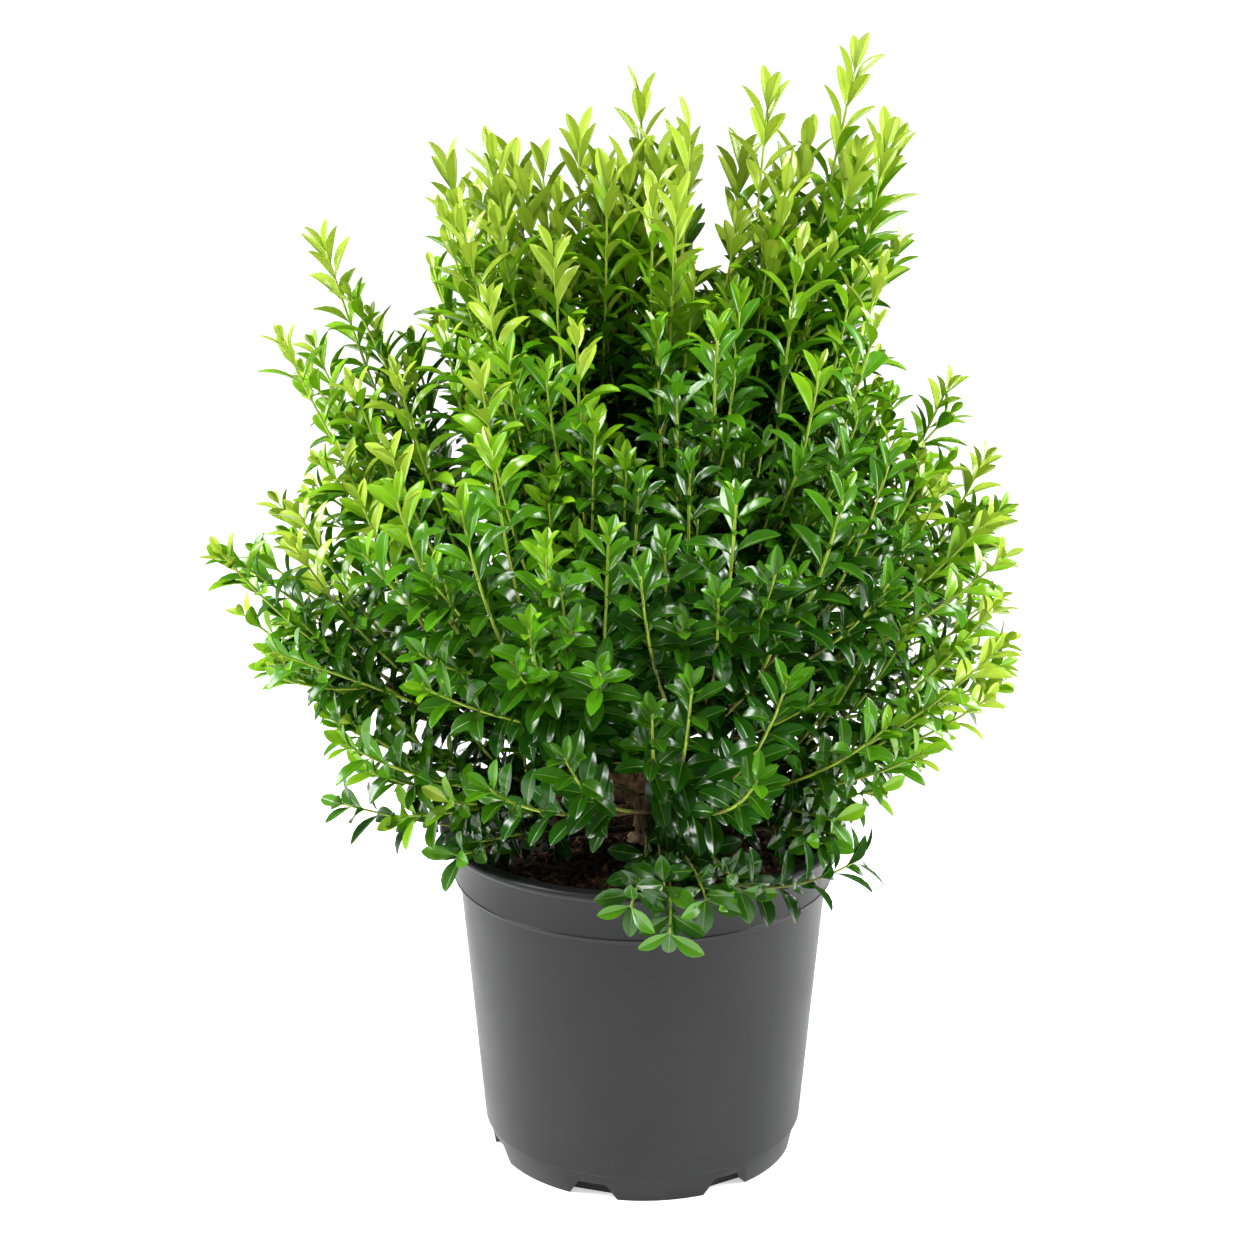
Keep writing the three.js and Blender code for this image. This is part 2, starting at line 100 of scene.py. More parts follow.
INNER_EDGE = 1.2
# Shares of the colour, and changes of the roughness, in the plastic's faint clouds
POT_CLOUDS = (0.86, 1.14)
POT_SHEEN = (-0.05, 0.06)

# The potting mix and the bits of bark on it: sizes in millimetres, breadths as shares of the length
SOIL_LEVEL = SOIL_TOP / MM
SOIL_GAP = 0.4
BED_FOOT = BAND_FOOT + 4
CHIP_LENGTHS = (2.5, 10)
CHIP_BREADTHS = (0.2, 0.5)
CHIP_HEIGHTS = (0.7, 2)
CHIP_LEVELS = (-1.5, 2)
CHIP_MARGIN = 4
CHIP_TILT = 0.35
CHIP_TOP = (0.8, 0.7, 1)
PALE_CHIPS = 0.45
BLOCK = np.array([[x, y, z] for z in (-0.5, 0.5) for y in (-0.5, 0.5) for x in (-0.5, 0.5)])
BLOCK_SIDES = ((0, 2, 3, 1), (4, 5, 7, 6), (0, 1, 5, 4), (2, 6, 7, 3), (0, 4, 6, 2), (1, 3, 7, 5))
# The bed's light colour and the chips' dark one, as multiples of the mix's dark colour
BED_LIGHT = 4
CHIP_DARK = 3

# How near leaves come to the pot and to the mix
CLEAR_OF_WALL = 1
CLEAR_OF_SOIL = 2

# Trunk and boughs follow the solids' rule, but the trunk is slimmer and low boughs leave it higher up.
TRUNK_FOOT = np.array([0.0, 10.0, TRUNK_BASE / MM])
TRUNK_HEIGHT = 52
TRUNK_LEAN = np.array([-4.0, -5.0, 0.0])
TRUNK_ROWS = ((12, 0), (7.4, 0.12), (5.4, 0.32), (4.9, 0.65), (4.8, 0.92), (4.2, 1))
BOUGH_RADIUS = 2.9
BOUGH_TIP_RADIUS = 2.2
FORK_RADIUS = 3.3
BOUGH_SHARE = 0.3
BOUGH_START_LOW = 0.52
BOUGH_START_HIGH = 0.93
BOUGH_OUTSET = 2.4
OUTWARD_PULL = 0.62
UPWARD_PULL = 0.34
FRONT_PULL = 0.78
SPIRE_PULL = 0.48
SPIRE_HEIGHTS = (600, 690)
BARK_STRETCH = 5
# Where a cubic curve's handles lie on the way from an end to the middle point of the bend
HANDLE = 2 / 3
OUTER_HANDLE = -1 / 3

# The crown's plan: each bough carries sprays, and each spray gives the bearing, the reach from the
# pot's axis and the height above the ground of its topmost leaf tip.
CROWN = {
    "right_spire": ((25, 156, 748), (26, 192, 690), (24, 88, 728)),
    "centre_spire": ((92, 62, 726), (20, 40, 718)),
    "left_spire": ((140, 54, 696), (172, 100, 688), (146, 160, 666)),
    "front_left_spire": ((222, 128, 610), (254, 146, 598)),
    "front_right_spire": ((288, 139, 602), (312, 158, 573)),
    "back_left": ((122, 185, 632), (138, 245, 500), (150, 245, 345)),
    "back_centre": ((94, 160, 652), (88, 236, 490), (104, 230, 325)),
    "back_right": ((60, 190, 622), (54, 248, 470), (66, 238, 330)),
    "left_shoulder": ((176, 208, 630), (190, 232, 574)),
    "left_reach": ((204, 302, 456), (172, 255, 462), (190, 274, 388)),
    "right_shoulder": ((346, 163, 624), (8, 204, 530)),
    "right_reach": ((18, 254, 470), (28, 308, 400), (10, 268, 345)),
    "front_left": ((230, 230, 510), (256, 236, 490)),
    "front_right": ((318, 200, 522), (284, 216, 516)),
    "left_low": ((202, 236, 292),),
    "right_low": ((353, 236, 308), (324, 194, 258)),
    "front_low": ((292, 226, 405), (270, 196, 214)),
}

# Boughs whose shoots end a little elsewhere; their sprays that lie over the rim are among RIM_SHOOTS
SHOOT_TIPS = {
    "centre_spire": ((92, 62, 726), (16, 32, 716)),
    "left_spire": ((140, 54, 703), (172, 100, 695), (146, 160, 673)),
    "right_shoulder": ((352, 152, 620), (8, 204, 530)),
    "left_reach": ((203, 286, 452), (172, 255, 462), (190, 266, 392)),
    "right_reach": ((18, 246, 470), (28, 290, 412), (10, 256, 345)),
    "left_low": (),
    "right_low": ((354, 196, 318),),
    "front_low": ((292, 226, 405),),
}

# More long shoots on the same boughs: bearing, reach and height of the tip, and how far down from it
# the leaves are pale; these lengths too are partly painted light and shade, long where leaves should read lit
LONG_SHOOTS = {
    "right_spire": ((25, 120, 697, 175), (6, 93, 677, 175), (19, 62, 650, 155)),
    "centre_spire": ((121, 23, 688, 175), (298, 45, 672, 165), (71, 32, 691, 175), (63, 45, 697, 175),
                     (300, 30, 590, 95), (200, 50, 585, 95), (340, 60, 600, 95)),
    "back_centre": ((90, 70, 610, 110), (60, 90, 615, 110), (125, 90, 615, 110), (100, 120, 625, 120)),
    "left_spire": ((146, 81, 683, 170), (145, 106, 684, 170), (215, 70, 638, 140), (184, 129, 652, 160),
                   (163, 101, 676, 170), (173, 77, 671, 170), (123, 48, 680, 170), (195, 120, 650, 160)),
    "front_left_spire": ((233, 163, 569, 150), (206, 138, 584, 140), (269, 170, 512, 60)),
    "front_right_spire": ((279, 167, 525, 65), (321, 96, 514, 60), (273, 205, 483, 60), (300, 92, 590, 85),
                          (322, 76, 605, 90), (276, 72, 590, 85), (290, 112, 560, 75)),
    "left_shoulder": ((174, 178, 578, 140), (169, 154, 560, 120), (198, 193, 550, 140), (180, 187, 497, 130),
                      (205, 170, 560, 150), (214, 190, 520, 150), (200, 205, 505, 150)),
    "left_reach": ((195, 229, 467, 165), (202, 238, 452, 160), (209, 203, 487, 165), (199, 251, 373, 150)),
    "right_shoulder": ((343, 102, 637, 130), (336, 150, 537, 100), (3, 164, 524, 110), (0, 135, 609, 120),
                       (346, 167, 512, 110), (342, 190, 494, 110), (357, 228, 447, 160), (341, 243, 439, 145),
                       (357, 189, 470, 150), (0, 180, 487, 150)),
    "right_reach": ((14, 245, 432, 180), (14, 252, 371, 180), (9, 244, 313, 165), (354, 195, 472, 155)),
    "front_left": ((244, 205, 540, 125), (243, 235, 509, 110), (253, 232, 439, 95), (225, 185, 453, 110),
                   (264, 201, 490, 90)),
    "front_right": ((304, 211, 510, 90), (269, 222, 471, 60), (298, 193, 455, 60)),
    "left_low": ((214, 232, 333, 110), (195, 226, 332, 110), (205, 150, 302, 110), (220, 172, 284, 100),
                 (212, 190, 268, 100), (196, 168, 286, 100), (207, 207, 301, 100), (197, 205, 325, 110),
                 (204, 175, 322, 90), (207, 132, 322, 70), (218, 98, 316, 60)),
    "right_low": ((320, 203, 346, 100), (343, 209, 339, 130), (325, 162, 260, 90), (340, 176, 272, 100),
                  (354, 233, 394, 165), (335, 246, 386, 150), (348, 233, 335, 165), (329, 212, 319, 120),
                  (338, 157, 374, 70), (342, 182, 388, 100), (332, 140, 342, 60)),
    "front_low": ((277, 223, 403, 55), (271, 218, 385, 55), (288, 221, 339, 55), (257, 218, 355, 60),
                  (243, 214, 326, 60)),
}

# Shoots from the foot of the trunk that lie over the rim: start, pull and tip
RIM_SHOOTS = (
    ((4, 0, 222), (64, -210, 229), (149, -118, 258)),
    ((-6, 2, 220), (-110, -70, 238), (-208, -84, 276)),
    ((-2, -2, 220), (10, -112, 264), (-14, -166, 218)),
    ((2, -2, 222), (22, -118, 272), (14, -170, 196)),
    ((3, -2, 222), (30, -112, 258), (42, -160, 222)),
    ((4, -2, 222), (44, -98, 256), (66, -152, 226)),
    ((-6, 0, 222), (-70, -60, 246), (-120, -92, 244)),
    ((6, 0, 222), (90, -70, 250), (128, -80, 250)),
)
RIM_FLUSH = 30

# How far down from the tips of each bough's sprays the leaves are pale. Besides the spread of new growth,
# these lengths paint light and shade: long on the outer boughs, whose leaves read paler as painted light at
# the crown's edge, and short low at the front, whose leaves read darker as painted shade.
FLUSH_AND_PAINTED_LIGHT = {
    "right_spire": 210, "centre_spire": 210, "left_spire": 195, "front_left_spire": 150,
    "front_right_spire": 105, "back_left": 150, "back_centre": 140, "back_right": 140,
    "left_shoulder": 200, "left_reach": 165, "right_shoulder": 160, "right_reach": 180,
    "front_left": 120, "front_right": 80, "left_low": 110, "right_low": 120, "front_low": 60,
}
# Shoots along the boughs, inside the crown, have a short flush so that their leaves turn dark soon: partly
# older leaves, partly painted shade.
PAINTED_SHADE_FLUSH = 30

# Shoots: radius, radius at the tip, share without leaves and share that is woody
LONG_STEM = (1.6, 0.75, 0.1, 0.25)
SIDE_STEM = (1.2, 0.7, 0.14, 0.1)
WHOLLY_WOODY = 1
STEM_FACETS = 6
STEM_ROW = 9
LONG_SHOOTS_FROM = 0.7
SIDE_OUT = 0.5
SIDE_UP = 0.45
SIDE_DRIFT = 0.1
SIDE_FLUSH = 0.65
SHORTEST_SIDE = 60
SIDE_OVERREACH = 5
NARROWEST_REACH = 120
GOLDEN_ANGLE = math.radians(137.5)
FLUSH_SPREAD = (0.85, 1.15)
BOUGH_SHOOTS = 4
BOUGH_SHOOTS_FROM = 0.2
BOUGH_SHOOT_LENGTHS = (75, 140)
BOUGH_SHOOT_ANGLE = math.radians(55)
BOUGH_SHOOT_LIFT = 0.3
BOUGH_SHOOT_UPTURN = 0.7
BOUGH_LEAVES_FROM = 0.4
OUTER_HALF = np.linspace(0.5, 1, 11)
# Green stem in lengths of the flush, and the least share of a stem that is olive
GREEN_LENGTH = 1.3
LEAST_OLIVE = 0.05
# A bend straighter than this takes its sideways direction from a fixed one.
STRAIGHT = 1
FIXED_DIRECTION = (0.3, 1, 0.2)

# Leaves
# Each pair down to LEAF_OUTTURN is for a weak shoot in the shade and for a strong one at the top.
NODE_SPACING = (13.5, 13)
TIP_SPACING = (6, 8)
LEAF_LENGTH = (25.5, 34)
LEAF_FOLD = (25, 42)
LEAF_BREADTH = (0.43, 0.295)
LEAF_ANGLE = (53, 43)
LEAF_ARCH = (44, 60)
LEAF_JITTER = (0.24, 0.08)
LEAF_OUTTURN = (0.6, 0.1)
WEAK_HEIGHT = 250
STRONG_HEIGHT = 680
SPIRE_STRAIGHTENING = 0.55
PAIR_STAGGER = 1.2
SPACING_FULL_AT = 20
SHOOT_TWIST = 0.25
ANGLE_JITTER = 0.09
TONE_JITTER = 0.06
# Least and greatest factors that leaves vary by
LENGTH_SPREAD = (0.88, 1.1)
BREADTH_SPREAD = (0.9, 1.1)
ARCH_SPREAD = (0.7, 1.3)
FOLD_SPREAD = (0.75, 1.25)
# How much older the leaves look on a shoot with no flush and on one with a full flush
DULLNESS = (1, 0.1)
FULL_FLUSH = 150
# A tip's own leaves by the shoot's strength: strengths, then lengths or angles
TIP_LEAF = ((0, 0.25, 0.8, 1), (24, 15, 15, 30))
TIP_ANGLE = ((0, 0.2, 1), (52, 30, 23))
TIP_REACH = 0.95
LEAF_FULL_AT = 24
GROWTH_POWER = 0.7
ANGLE_FULL_AT = 90
OPENING_POWER = 0.5
ARCH_FULL_AT = 50
TIP_ARCH = 14
LEAF_LIFT = 0.1
LEAF_UPTURN = 0.5
LEAF_ROWS = np.array([0.0, 0.1, 0.24, 0.41, 0.59, 0.77, 0.92, 1.0])
LEAF_OUTLINE = np.array([0.09, 0.14, 0.5, 0.86, 1.0, 0.84, 0.42, 0.0])
# Across a leaf, in half widths: where its flanks bend, and how high each corner stands over the midrib
LEAF_FLANK = 0.55
LEAF_CUP = np.array([0.68, 0.5, 0, 0, 0.5, 0.68])
LEAF_COLUMNS = len(LEAF_CUP)
RIB_TAPER = 1.2
RIB_MOST = 0.5
MOST_LEAVES = 3000

# The photo's point of view, and the openings that it shows in the crown: left, right, low and high on the
# upright plane through the pot's axis
EYE = np.array([-10.6, -1800.0, 915.0])
SKY = ((39, 44, 600, 690), (36, 46, 690, 760), (-174, -138, 578, 720), (-400, -222, 460, 517),
       (156, 400, 545, 580), (-400, -261, 250, 368), (-400, -221, 265, 315))
TRUNK_WINDOW = (-13, 1, 212, 259)
TRUNK_FRONT = TRUNK_FOOT[1] - TRUNK_ROWS[1][0]
PRUNED_SHARE = 0.94

# Tones from the newest leaves to the oldest: name, and the share of the flush where it ends
TONES = (("lime", 0.26), ("young", 0.5), ("bright", 0.85), ("fresh", 1.4), ("green", 2.4), ("deep", math.inf))
SEED = 11
LEAF_SPECULAR = 0.38
RIB_TINT = (0.16, 0.34, 0.03)
RIB_BLEND = 0.5
RIB_ROUGHER = 0.1

# The stage: lamps with their place, their size and the setting of their strength, and the sun's turns
LAMPS = (
    ("top_lamp", (-0.5, -1.2, 1.9), (0.6, 0.6), "top"),
    ("left_lamp", (-1.4, -0.3, 1.2), (0.5, 1.2), "side"),
    ("right_lamp", (1.4, -0.3, 1.2), (0.5, 1.2), "side"),
)
SUN_TURNS = (math.radians(14), math.radians(-16), 0)
SUN_BREADTH = math.radians(12)
STAGE_SIZE = 80
STAGE_COLOUR = (0.9, 0.9, 0.9)
STAGE_GLOW = 0.55
SENSOR_WIDTH = 36
WHITE = (1, 1, 1, 1)


def unit(vector):
    return vector / np.linalg.norm(vector)


def lerp(a, b, share):
    return a + (b - a) * share


# Plane bends with three control points


def point_on(curve, t):
    a, b, c = curve
    return (1 - t) ** 2 * a + 2 * t * (1 - t) * b + t * t * c


def heading_on(curve, t):
    a, b, c = curve
    return unit((1 - t) * (b - a) + t * (c - b))


def length_of(curve, steps=24):
    places = np.array([point_on(curve, i / steps) for i in range(steps + 1)])
    return np.linalg.norm(np.diff(places, axis=0), axis=1).sum()


def first_part(curve, share):
    a, b, _ = curve
    return np.array([a, lerp(a, b, share), point_on(curve, share)])


class Station(NamedTuple):
    """A place on a limb with the limb's own three directions there."""

    at: np.ndarray
    along: np.ndarray
    side: np.ndarray
    over: np.ndarray


def station_on(curve, t):
    a, b, c = curve
    along = heading_on(curve, t)
    side = np.cross(b - a, c - a)
    if side @ side < STRAIGHT:
        side = np.cross(along, FIXED_DIRECTION)
    side = unit(side)
    return Station(point_on(curve, t), along, side, np.cross(side, along))


def leaning(station, angle, turn):
    """A direction that leaves the limb at an angle, on the side given by a turn round it."""
    sideways = station.side * math.cos(turn) + station.over * math.sin(turn)
    return station.along * math.cos(angle) + sideways * math.sin(angle)


# Openings in the crown


def is_seen_in(opening, places):
    """True where the photo's eye sees a place inside an opening."""
    left, right, low, high = opening
    share = EYE[1] / (EYE[1] - places[..., 1])
    x = lerp(EYE[0], places[..., 0], share)
    z = lerp(EYE[2], places[..., 2], share)
    return (x > left) & (x < right) & (z > low) & (z < high)


def is_in_sky(places):
    return np.any([is_seen_in(opening, places) for opening in SKY], axis=0)


def hides_trunk(places):
    return is_seen_in(TRUNK_WINDOW, places) & (places[..., 1] < TRUNK_FRONT)


# The crown's limbs

TRUNK_AXIS = np.array([
    TRUNK_FOOT,
    TRUNK_FOOT + UP * TRUNK_HEIGHT / 2,
    TRUNK_FOOT + UP * TRUNK_HEIGHT + TRUNK_LEAN,
])


def tip_of(place):
    bearing, reach, height = place
    angle = math.radians(bearing)
    return np.array([reach * math.cos(angle), reach * math.sin(angle), height])


def bough_axis(tips):
    """From the trunk outwards, then up towards the middle of the tips, as far as the fork."""
    middle = np.mean(tips, axis=0)
    rise = middle - TRUNK_FOOT
    steepness = rise[2] / np.linalg.norm(rise)
    outset = BOUGH_OUTSET * unit(rise * (1, 1, 0))
    start = point_on(TRUNK_AXIS, lerp(BOUGH_START_LOW, BOUGH_START_HIGH, steepness)) + outset
    return first_part(rising_axis(start, middle, OUTWARD_PULL), BOUGH_SHARE)


def rising_axis(start, tip, outward):
    """From a limb outwards, then up to the tip."""
    return np.array([start, start + (tip - start) * (outward, outward, UPWARD_PULL), tip])


def spire_share(tip):
    """How far a shoot is one of the tall ones at the top."""
    low, high = SPIRE_HEIGHTS
    return np.clip((tip[2] - low) / (high - low), 0, 1)


def shoot_axis(bough_name, start, place):
    """Shoots at the front bow out from the limb, and tall ones are straighter."""
    tip = tip_of(place)
    bow = FRONT_PULL if bough_name.startswith("front") else OUTWARD_PULL
    return rising_axis(start, tip, lerp(bow, SPIRE_PULL, spire_share(tip)))


class Bough(NamedTuple):
    """A limb from the trunk to its fork, and the axes of the sprays that it carries from there."""

    name: str
    axis: np.ndarray
    sprays: list


def grow_boughs():
    boughs = []
    for name, places in CROWN.items():
        tips = [tip_of(place) for place in places]
        axis = bough_axis(tips)
        sprays = [shoot_axis(name, axis[2], place) for place in SHOOT_TIPS.get(name, places)]
        boughs.append(Bough(name, axis, sprays))
    return boughs


class Brood(NamedTuple):
    """How a stem branches: how many shoots, where on it, at what angle and how long."""

    count: int
    lowest: float
    highest: float
    angle: float
    length: float
    spread: float


# Long shoots that leave low on a spray and follow it, and short ones higher up: most at the back, which
# has no other long shoots, and none at the front's foot
BROODS = (Brood(3, 0.05, 0.4, 18, 0.78, 0.4), Brood(3, 0.32, 0.62, 34, 0.52, 0.4))
SPIRE_BROODS = (Brood(5, 0.02, 0.42, 15, 0.8, 0.3), Brood(4, 0.2, 0.62, 30, 0.54, 0.4))
BACK_BROODS = (Brood(7, 0.03, 0.45, 17, 0.7, 0.4), Brood(4, 0.25, 0.62, 30, 0.5, 0.4))


def broods_of(name):
    if name == "front_low":
        return ()
    if name.startswith("back"):
        return BACK_BROODS
    return SPIRE_BROODS if name.endswith("spire") else BROODS


class Shoot(NamedTuple):
    """A leafy stem: its bend and thickness, its bare and woody shares, how far down its leaves are pale,
    how strong it is, and how far it is one of the tall ones at the top."""

    curve: np.ndarray
    radius: float
    tip_radius: float
    bare: float
    woody: float
    flush: float
    vigour: float
    spire: float


def side_axes(axis, brood, random):
    """Side shoots leave a stem round a golden angle, and bend up to follow it."""
    length = length_of(axis)
    first_turn = random.uniform(0, math.tau)
    axes = []
    for i in range(brood.count):
        t = lerp(brood.lowest, brood.highest, (i + random.random()) / brood.count)
        station = station_on(axis, t)
        direction = leaning(station, math.radians(brood.angle), first_turn + GOLDEN_ANGLE * i)
        spread = 1 + brood.spread * (random.random() - 0.5)
        reach = max(SHORTEST_SIDE, length * (1 - t) * brood.length * spread)
        control = station.at + direction * SIDE_OUT * reach
        tip = control + station.along * SIDE_UP * reach + direction * SIDE_DRIFT * reach
        farthest = max(NARROWEST_REACH, np.hypot(*axis[2][:2]) + SIDE_OVERREACH)
        tip[:2] *= min(1, farthest / np.hypot(*tip[:2]))
        axes.append(np.array([station.at, control, tip]))
    return axes


def bough_shoots(axis, random):
    """Short leafy shoots along a bough, which turn up to the light."""
    first_turn = random.uniform(0, math.tau)
    axes = []
    for i in range(BOUGH_SHOOTS):
        station = station_on(axis, lerp(BOUGH_SHOOTS_FROM, 1, (i + random.random()) / BOUGH_SHOOTS))
        direction = leaning(station, BOUGH_SHOOT_ANGLE, first_turn + GOLDEN_ANGLE * i)
        direction = unit(direction + BOUGH_SHOOT_LIFT * UP)
        half = random.uniform(*BOUGH_SHOOT_LENGTHS) / 2
        control = station.at + direction * half
        tip = control + unit(direction + BOUGH_SHOOT_UPTURN * UP) * half
        axes.append(np.array([station.at, control, tip]))
    return axes


def outer_half(axis):
    return np.array([point_on(axis, t) for t in OUTER_HALF])


def leafy_shoot(axis, is_long, flush):
    """The stem ends short of the sky, and by the length of its last leaves short of the axis's end."""
    while is_in_sky(outer_half(axis)).any():
        axis = first_part(axis, PRUNED_SHARE)
    vigour = np.clip((axis[2][2] - WEAK_HEIGHT) / (STRONG_HEIGHT - WEAK_HEIGHT), 0, 1)
    spire = spire_share(axis[2])
    reach = TIP_REACH * np.interp(vigour, *TIP_LEAF)
    curve = first_part(axis, 1 - reach / length_of(axis))
    return Shoot(curve, *(LONG_STEM if is_long else SIDE_STEM), flush, vigour, spire)


def leafy_bough(axis):
    """The outer part of a bough, whose own wood is the limbs' piece."""
    stem = (BOUGH_TIP_RADIUS, BOUGH_TIP_RADIUS, BOUGH_LEAVES_FROM, WHOLLY_WOODY)
    return Shoot(axis, *stem, PAINTED_SHADE_FLUSH, vigour=0, spire=0)


def grow_shoots(boughs):
    """Every leafy shoot of the crown."""
    shoots = []
    for number, bough in enumerate(boughs):
        random = np.random.default_rng(SEED + number)
        for axis in bough.sprays:
            flush = FLUSH_AND_PAINTED_LIGHT[bough.name] * random.uniform(*FLUSH_SPREAD)
            shoots.append(leafy_shoot(axis, True, flush))
            for brood in broods_of(bough.name):
                for side in side_axes(axis, brood, random):
                    shoots.append(leafy_shoot(side, False, SIDE_FLUSH * flush))
        for *place, flush in LONG_SHOOTS.get(bough.name, ()):
            start = point_on(bough.axis, random.uniform(LONG_SHOOTS_FROM, 1))
            shoots.append(leafy_shoot(shoot_axis(bough.name, start, place), True, flush))
        for side in bough_shoots(bough.axis, random):
            shoots.append(leafy_shoot(side, False, PAINTED_SHADE_FLUSH))
        shoots.append(leafy_bough(bough.axis))
    for axis in RIM_SHOOTS:
        shoots.append(leafy_shoot(np.array(axis, float), False, RIM_FLUSH))
    return shoots


class Leaf(NamedTuple):
    """A leaf's root, its heading there, its upper side, its sizes and its tone."""

    root: np.ndarray
    heading: np.ndarray
    upper: np.ndarray
    length: float
    width: float
    arch: float
    fold: float
    tone: int


def tone_at(share):
    return next(i for i, (_, end) in enumerate(TONES) if share < end)


def node_distances(shoot):
    """Distances of the leaf pairs from the shoot's tip, closer together near it."""
    distances = []
    distance = 0
    while distance < length_of(shoot.curve) * (1 - shoot.bare):
        distances.append(distance)
        near, far = lerp(*TIP_SPACING, shoot.spire), lerp(*NODE_SPACING, shoot.vigour)
        distance += lerp(near, far, min(1, distance / SPACING_FULL_AT))
    return distances


def turn_across(station):
    """The turn round a stem that points across the way out from the plant's middle."""
    across = np.cross(UP, station.at * (1, 1, 0))
    return math.atan2(across @ station.over, across @ station.side)


def grow_leaves(shoot, random):
    """Pairs of leaves down a shoot, each pair at right angles to the last."""
    length = length_of(shoot.curve)
    vigour = shoot.vigour
    twist = random.normal(0, SHOOT_TWIST)
    dullness = lerp(*DULLNESS, min(1, shoot.flush / FULL_FLUSH)) * (1 - shoot.spire)
    leaves = []
    for node, distance in enumerate(node_distances(shoot)):
        grown = min(1, distance / LEAF_FULL_AT) ** GROWTH_POWER
        opened = min(1, distance / ANGLE_FULL_AT) ** OPENING_POWER
        arched = min(1, distance / ARCH_FULL_AT)
        for half in (0, 1):
            place = min(length, max(0, length - distance - PAIR_STAGGER * half))
            station = station_on(shoot.curve, place / length)
            turn = turn_across(station) + twist + (node / 2 + half) * math.pi
            turn += random.normal(0, lerp(*LEAF_JITTER, vigour))
            angle = math.radians(lerp(np.interp(vigour, *TIP_ANGLE), lerp(*LEAF_ANGLE, vigour), opened))
            angle += random.normal(0, ANGLE_JITTER)
            heading = unit(leaning(station, angle, turn) + LEAF_LIFT * opened * UP)
            outward = unit(station.at * (1, 1, 0))
            upper = station.along + LEAF_UPTURN * UP + lerp(*LEAF_OUTTURN, vigour) * outward
            upper = unit(upper - heading * (upper @ heading))
            size = lerp(np.interp(vigour, *TIP_LEAF), lerp(*LEAF_LENGTH, vigour), grown)
            size *= random.uniform(*LENGTH_SPREAD)
            arch = lerp(TIP_ARCH, lerp(*LEAF_ARCH, vigour), arched) * random.uniform(*ARCH_SPREAD)
            arch *= 1 - SPIRE_STRAIGHTENING * shoot.spire
            leaves.append(Leaf(
                root=station.at,
                heading=heading,
                upper=upper,
                length=size,
                width=size * lerp(*LEAF_BREADTH, vigour) * random.uniform(*BREADTH_SPREAD),
                arch=math.radians(arch),
                fold=math.radians(lerp(*LEAF_FOLD, vigour) * random.uniform(*FOLD_SPREAD)),
                tone=tone_at(max(0, dullness + distance / shoot.flush + random.normal(0, TONE_JITTER))),
            ))
    return leaves


# Where the pot and the potting mix are


def pot_radius_at(height):
    rows = ((0, FOOT_RADIUS), (BAND_FOOT, BODY_TOP_RADIUS), (BAND_FOOT + SLOPE, BAND_FOOT_RADIUS),
            (LIP_FOOT, BAND_TOP_RADIUS), (LIP_FOOT + LIP_STEP, LIP_RADIUS))
    heights, radii = zip(*rows)
    return np.interp(height, heights, radii)


def clear_of_pot(places):
    """True where a place is outside the pot's wall and above the potting mix."""
    radius = np.hypot(places[..., 0], places[..., 1])
    height = places[..., 2]
    inside = (radius < BAND_FOOT_RADIUS - WALL) & (height > SOIL_LEVEL + CLEAR_OF_SOIL)
    outside = radius > pot_radius_at(height) + CLEAR_OF_WALL
    return inside | outside | (height > POT_HEIGHT + CLEAR_OF_WALL)


# Meshes from arrays


def mesh_piece(name, corners, faces, materials, slots=None, smooth=True):
    """A mesh object from corners in millimetres and faces of three or four corners."""
    mesh = bpy.data.meshes.new(name)
    sizes = np.array([len(face) for face in faces])
    mesh.vertices.add(len(corners))
    mesh.vertices.foreach_set("co", (np.asarray(corners) * MM).astype(np.float32).ravel())
    mesh.loops.add(int(sizes.sum()))
    mesh.loops.foreach_set("vertex_index", np.concatenate(faces).astype(np.int32))
    mesh.polygons.add(len(faces))
    starts = np.concatenate([[0], np.cumsum(sizes)[:-1]]).astype(np.int32)
    mesh.polygons.foreach_set("loop_start", starts)
    mesh.polygons.foreach_set("use_smooth", np.full(len(faces), smooth))
    for material in materials:
        mesh.materials.append(material)
    if slots is not None:
        mesh.polygons.foreach_set("material_index", np.asarray(slots, np.int32))
    mesh.update(calc_edges=True)
    mesh.validate()
    piece = bpy.data.objects.new(name, mesh)
    bpy.context.scene.collection.objects.link(piece)
    return piece


def seat(piece, nodes):
    """A finished piece stands for its nodes and moves with the plant."""
    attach(piece, "root")
    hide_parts(*nodes)


def tube(curve, begin, end, radius, tip_radius):
    """Corners and faces of a tapering stem along part of a bend, closed at its ends."""
    length = length_of(curve) * (end - begin)
    rows = max(2, math.ceil(length / STEM_ROW) + 1)
    turns = np.arange(STEM_FACETS) * math.tau / STEM_FACETS
    corners = []
    for row in range(rows):
        share = row / (rows - 1)
        station = station_on(curve, lerp(begin, end, share))
        ring = np.outer(np.cos(turns), station.side) + np.outer(np.sin(turns), station.over)
        corners.append(station.at + ring * lerp(radius, tip_radius, share))
    corners = np.concatenate(corners)
    faces = []
    for row in range(rows - 1):
        for i in range(STEM_FACETS):
            j = (i + 1) % STEM_FACETS
            low, high = row * STEM_FACETS, (row + 1) * STEM_FACETS
            faces.append([low + i, high + i, high + j, low + j])
    faces.append(list(range(STEM_FACETS)))
    faces.append([len(corners) - 1 - i for i in range(STEM_FACETS)])
    return corners, faces


def turned(a, b, angle):
    """Two coordinates after a turn in their plane."""
    return a * np.cos(angle) - b * np.sin(angle), a * np.sin(angle) + b * np.cos(angle)


def joined(parts):
    """Several sets of corners and faces as one."""
    corners, faces, count = [], [], 0
    for part_corners, part_faces in parts:
        corners.append(part_corners)
        faces.extend([[i + count for i in face] for face in part_faces])
        count += len(part_corners)
    return np.concatenate(corners), faces


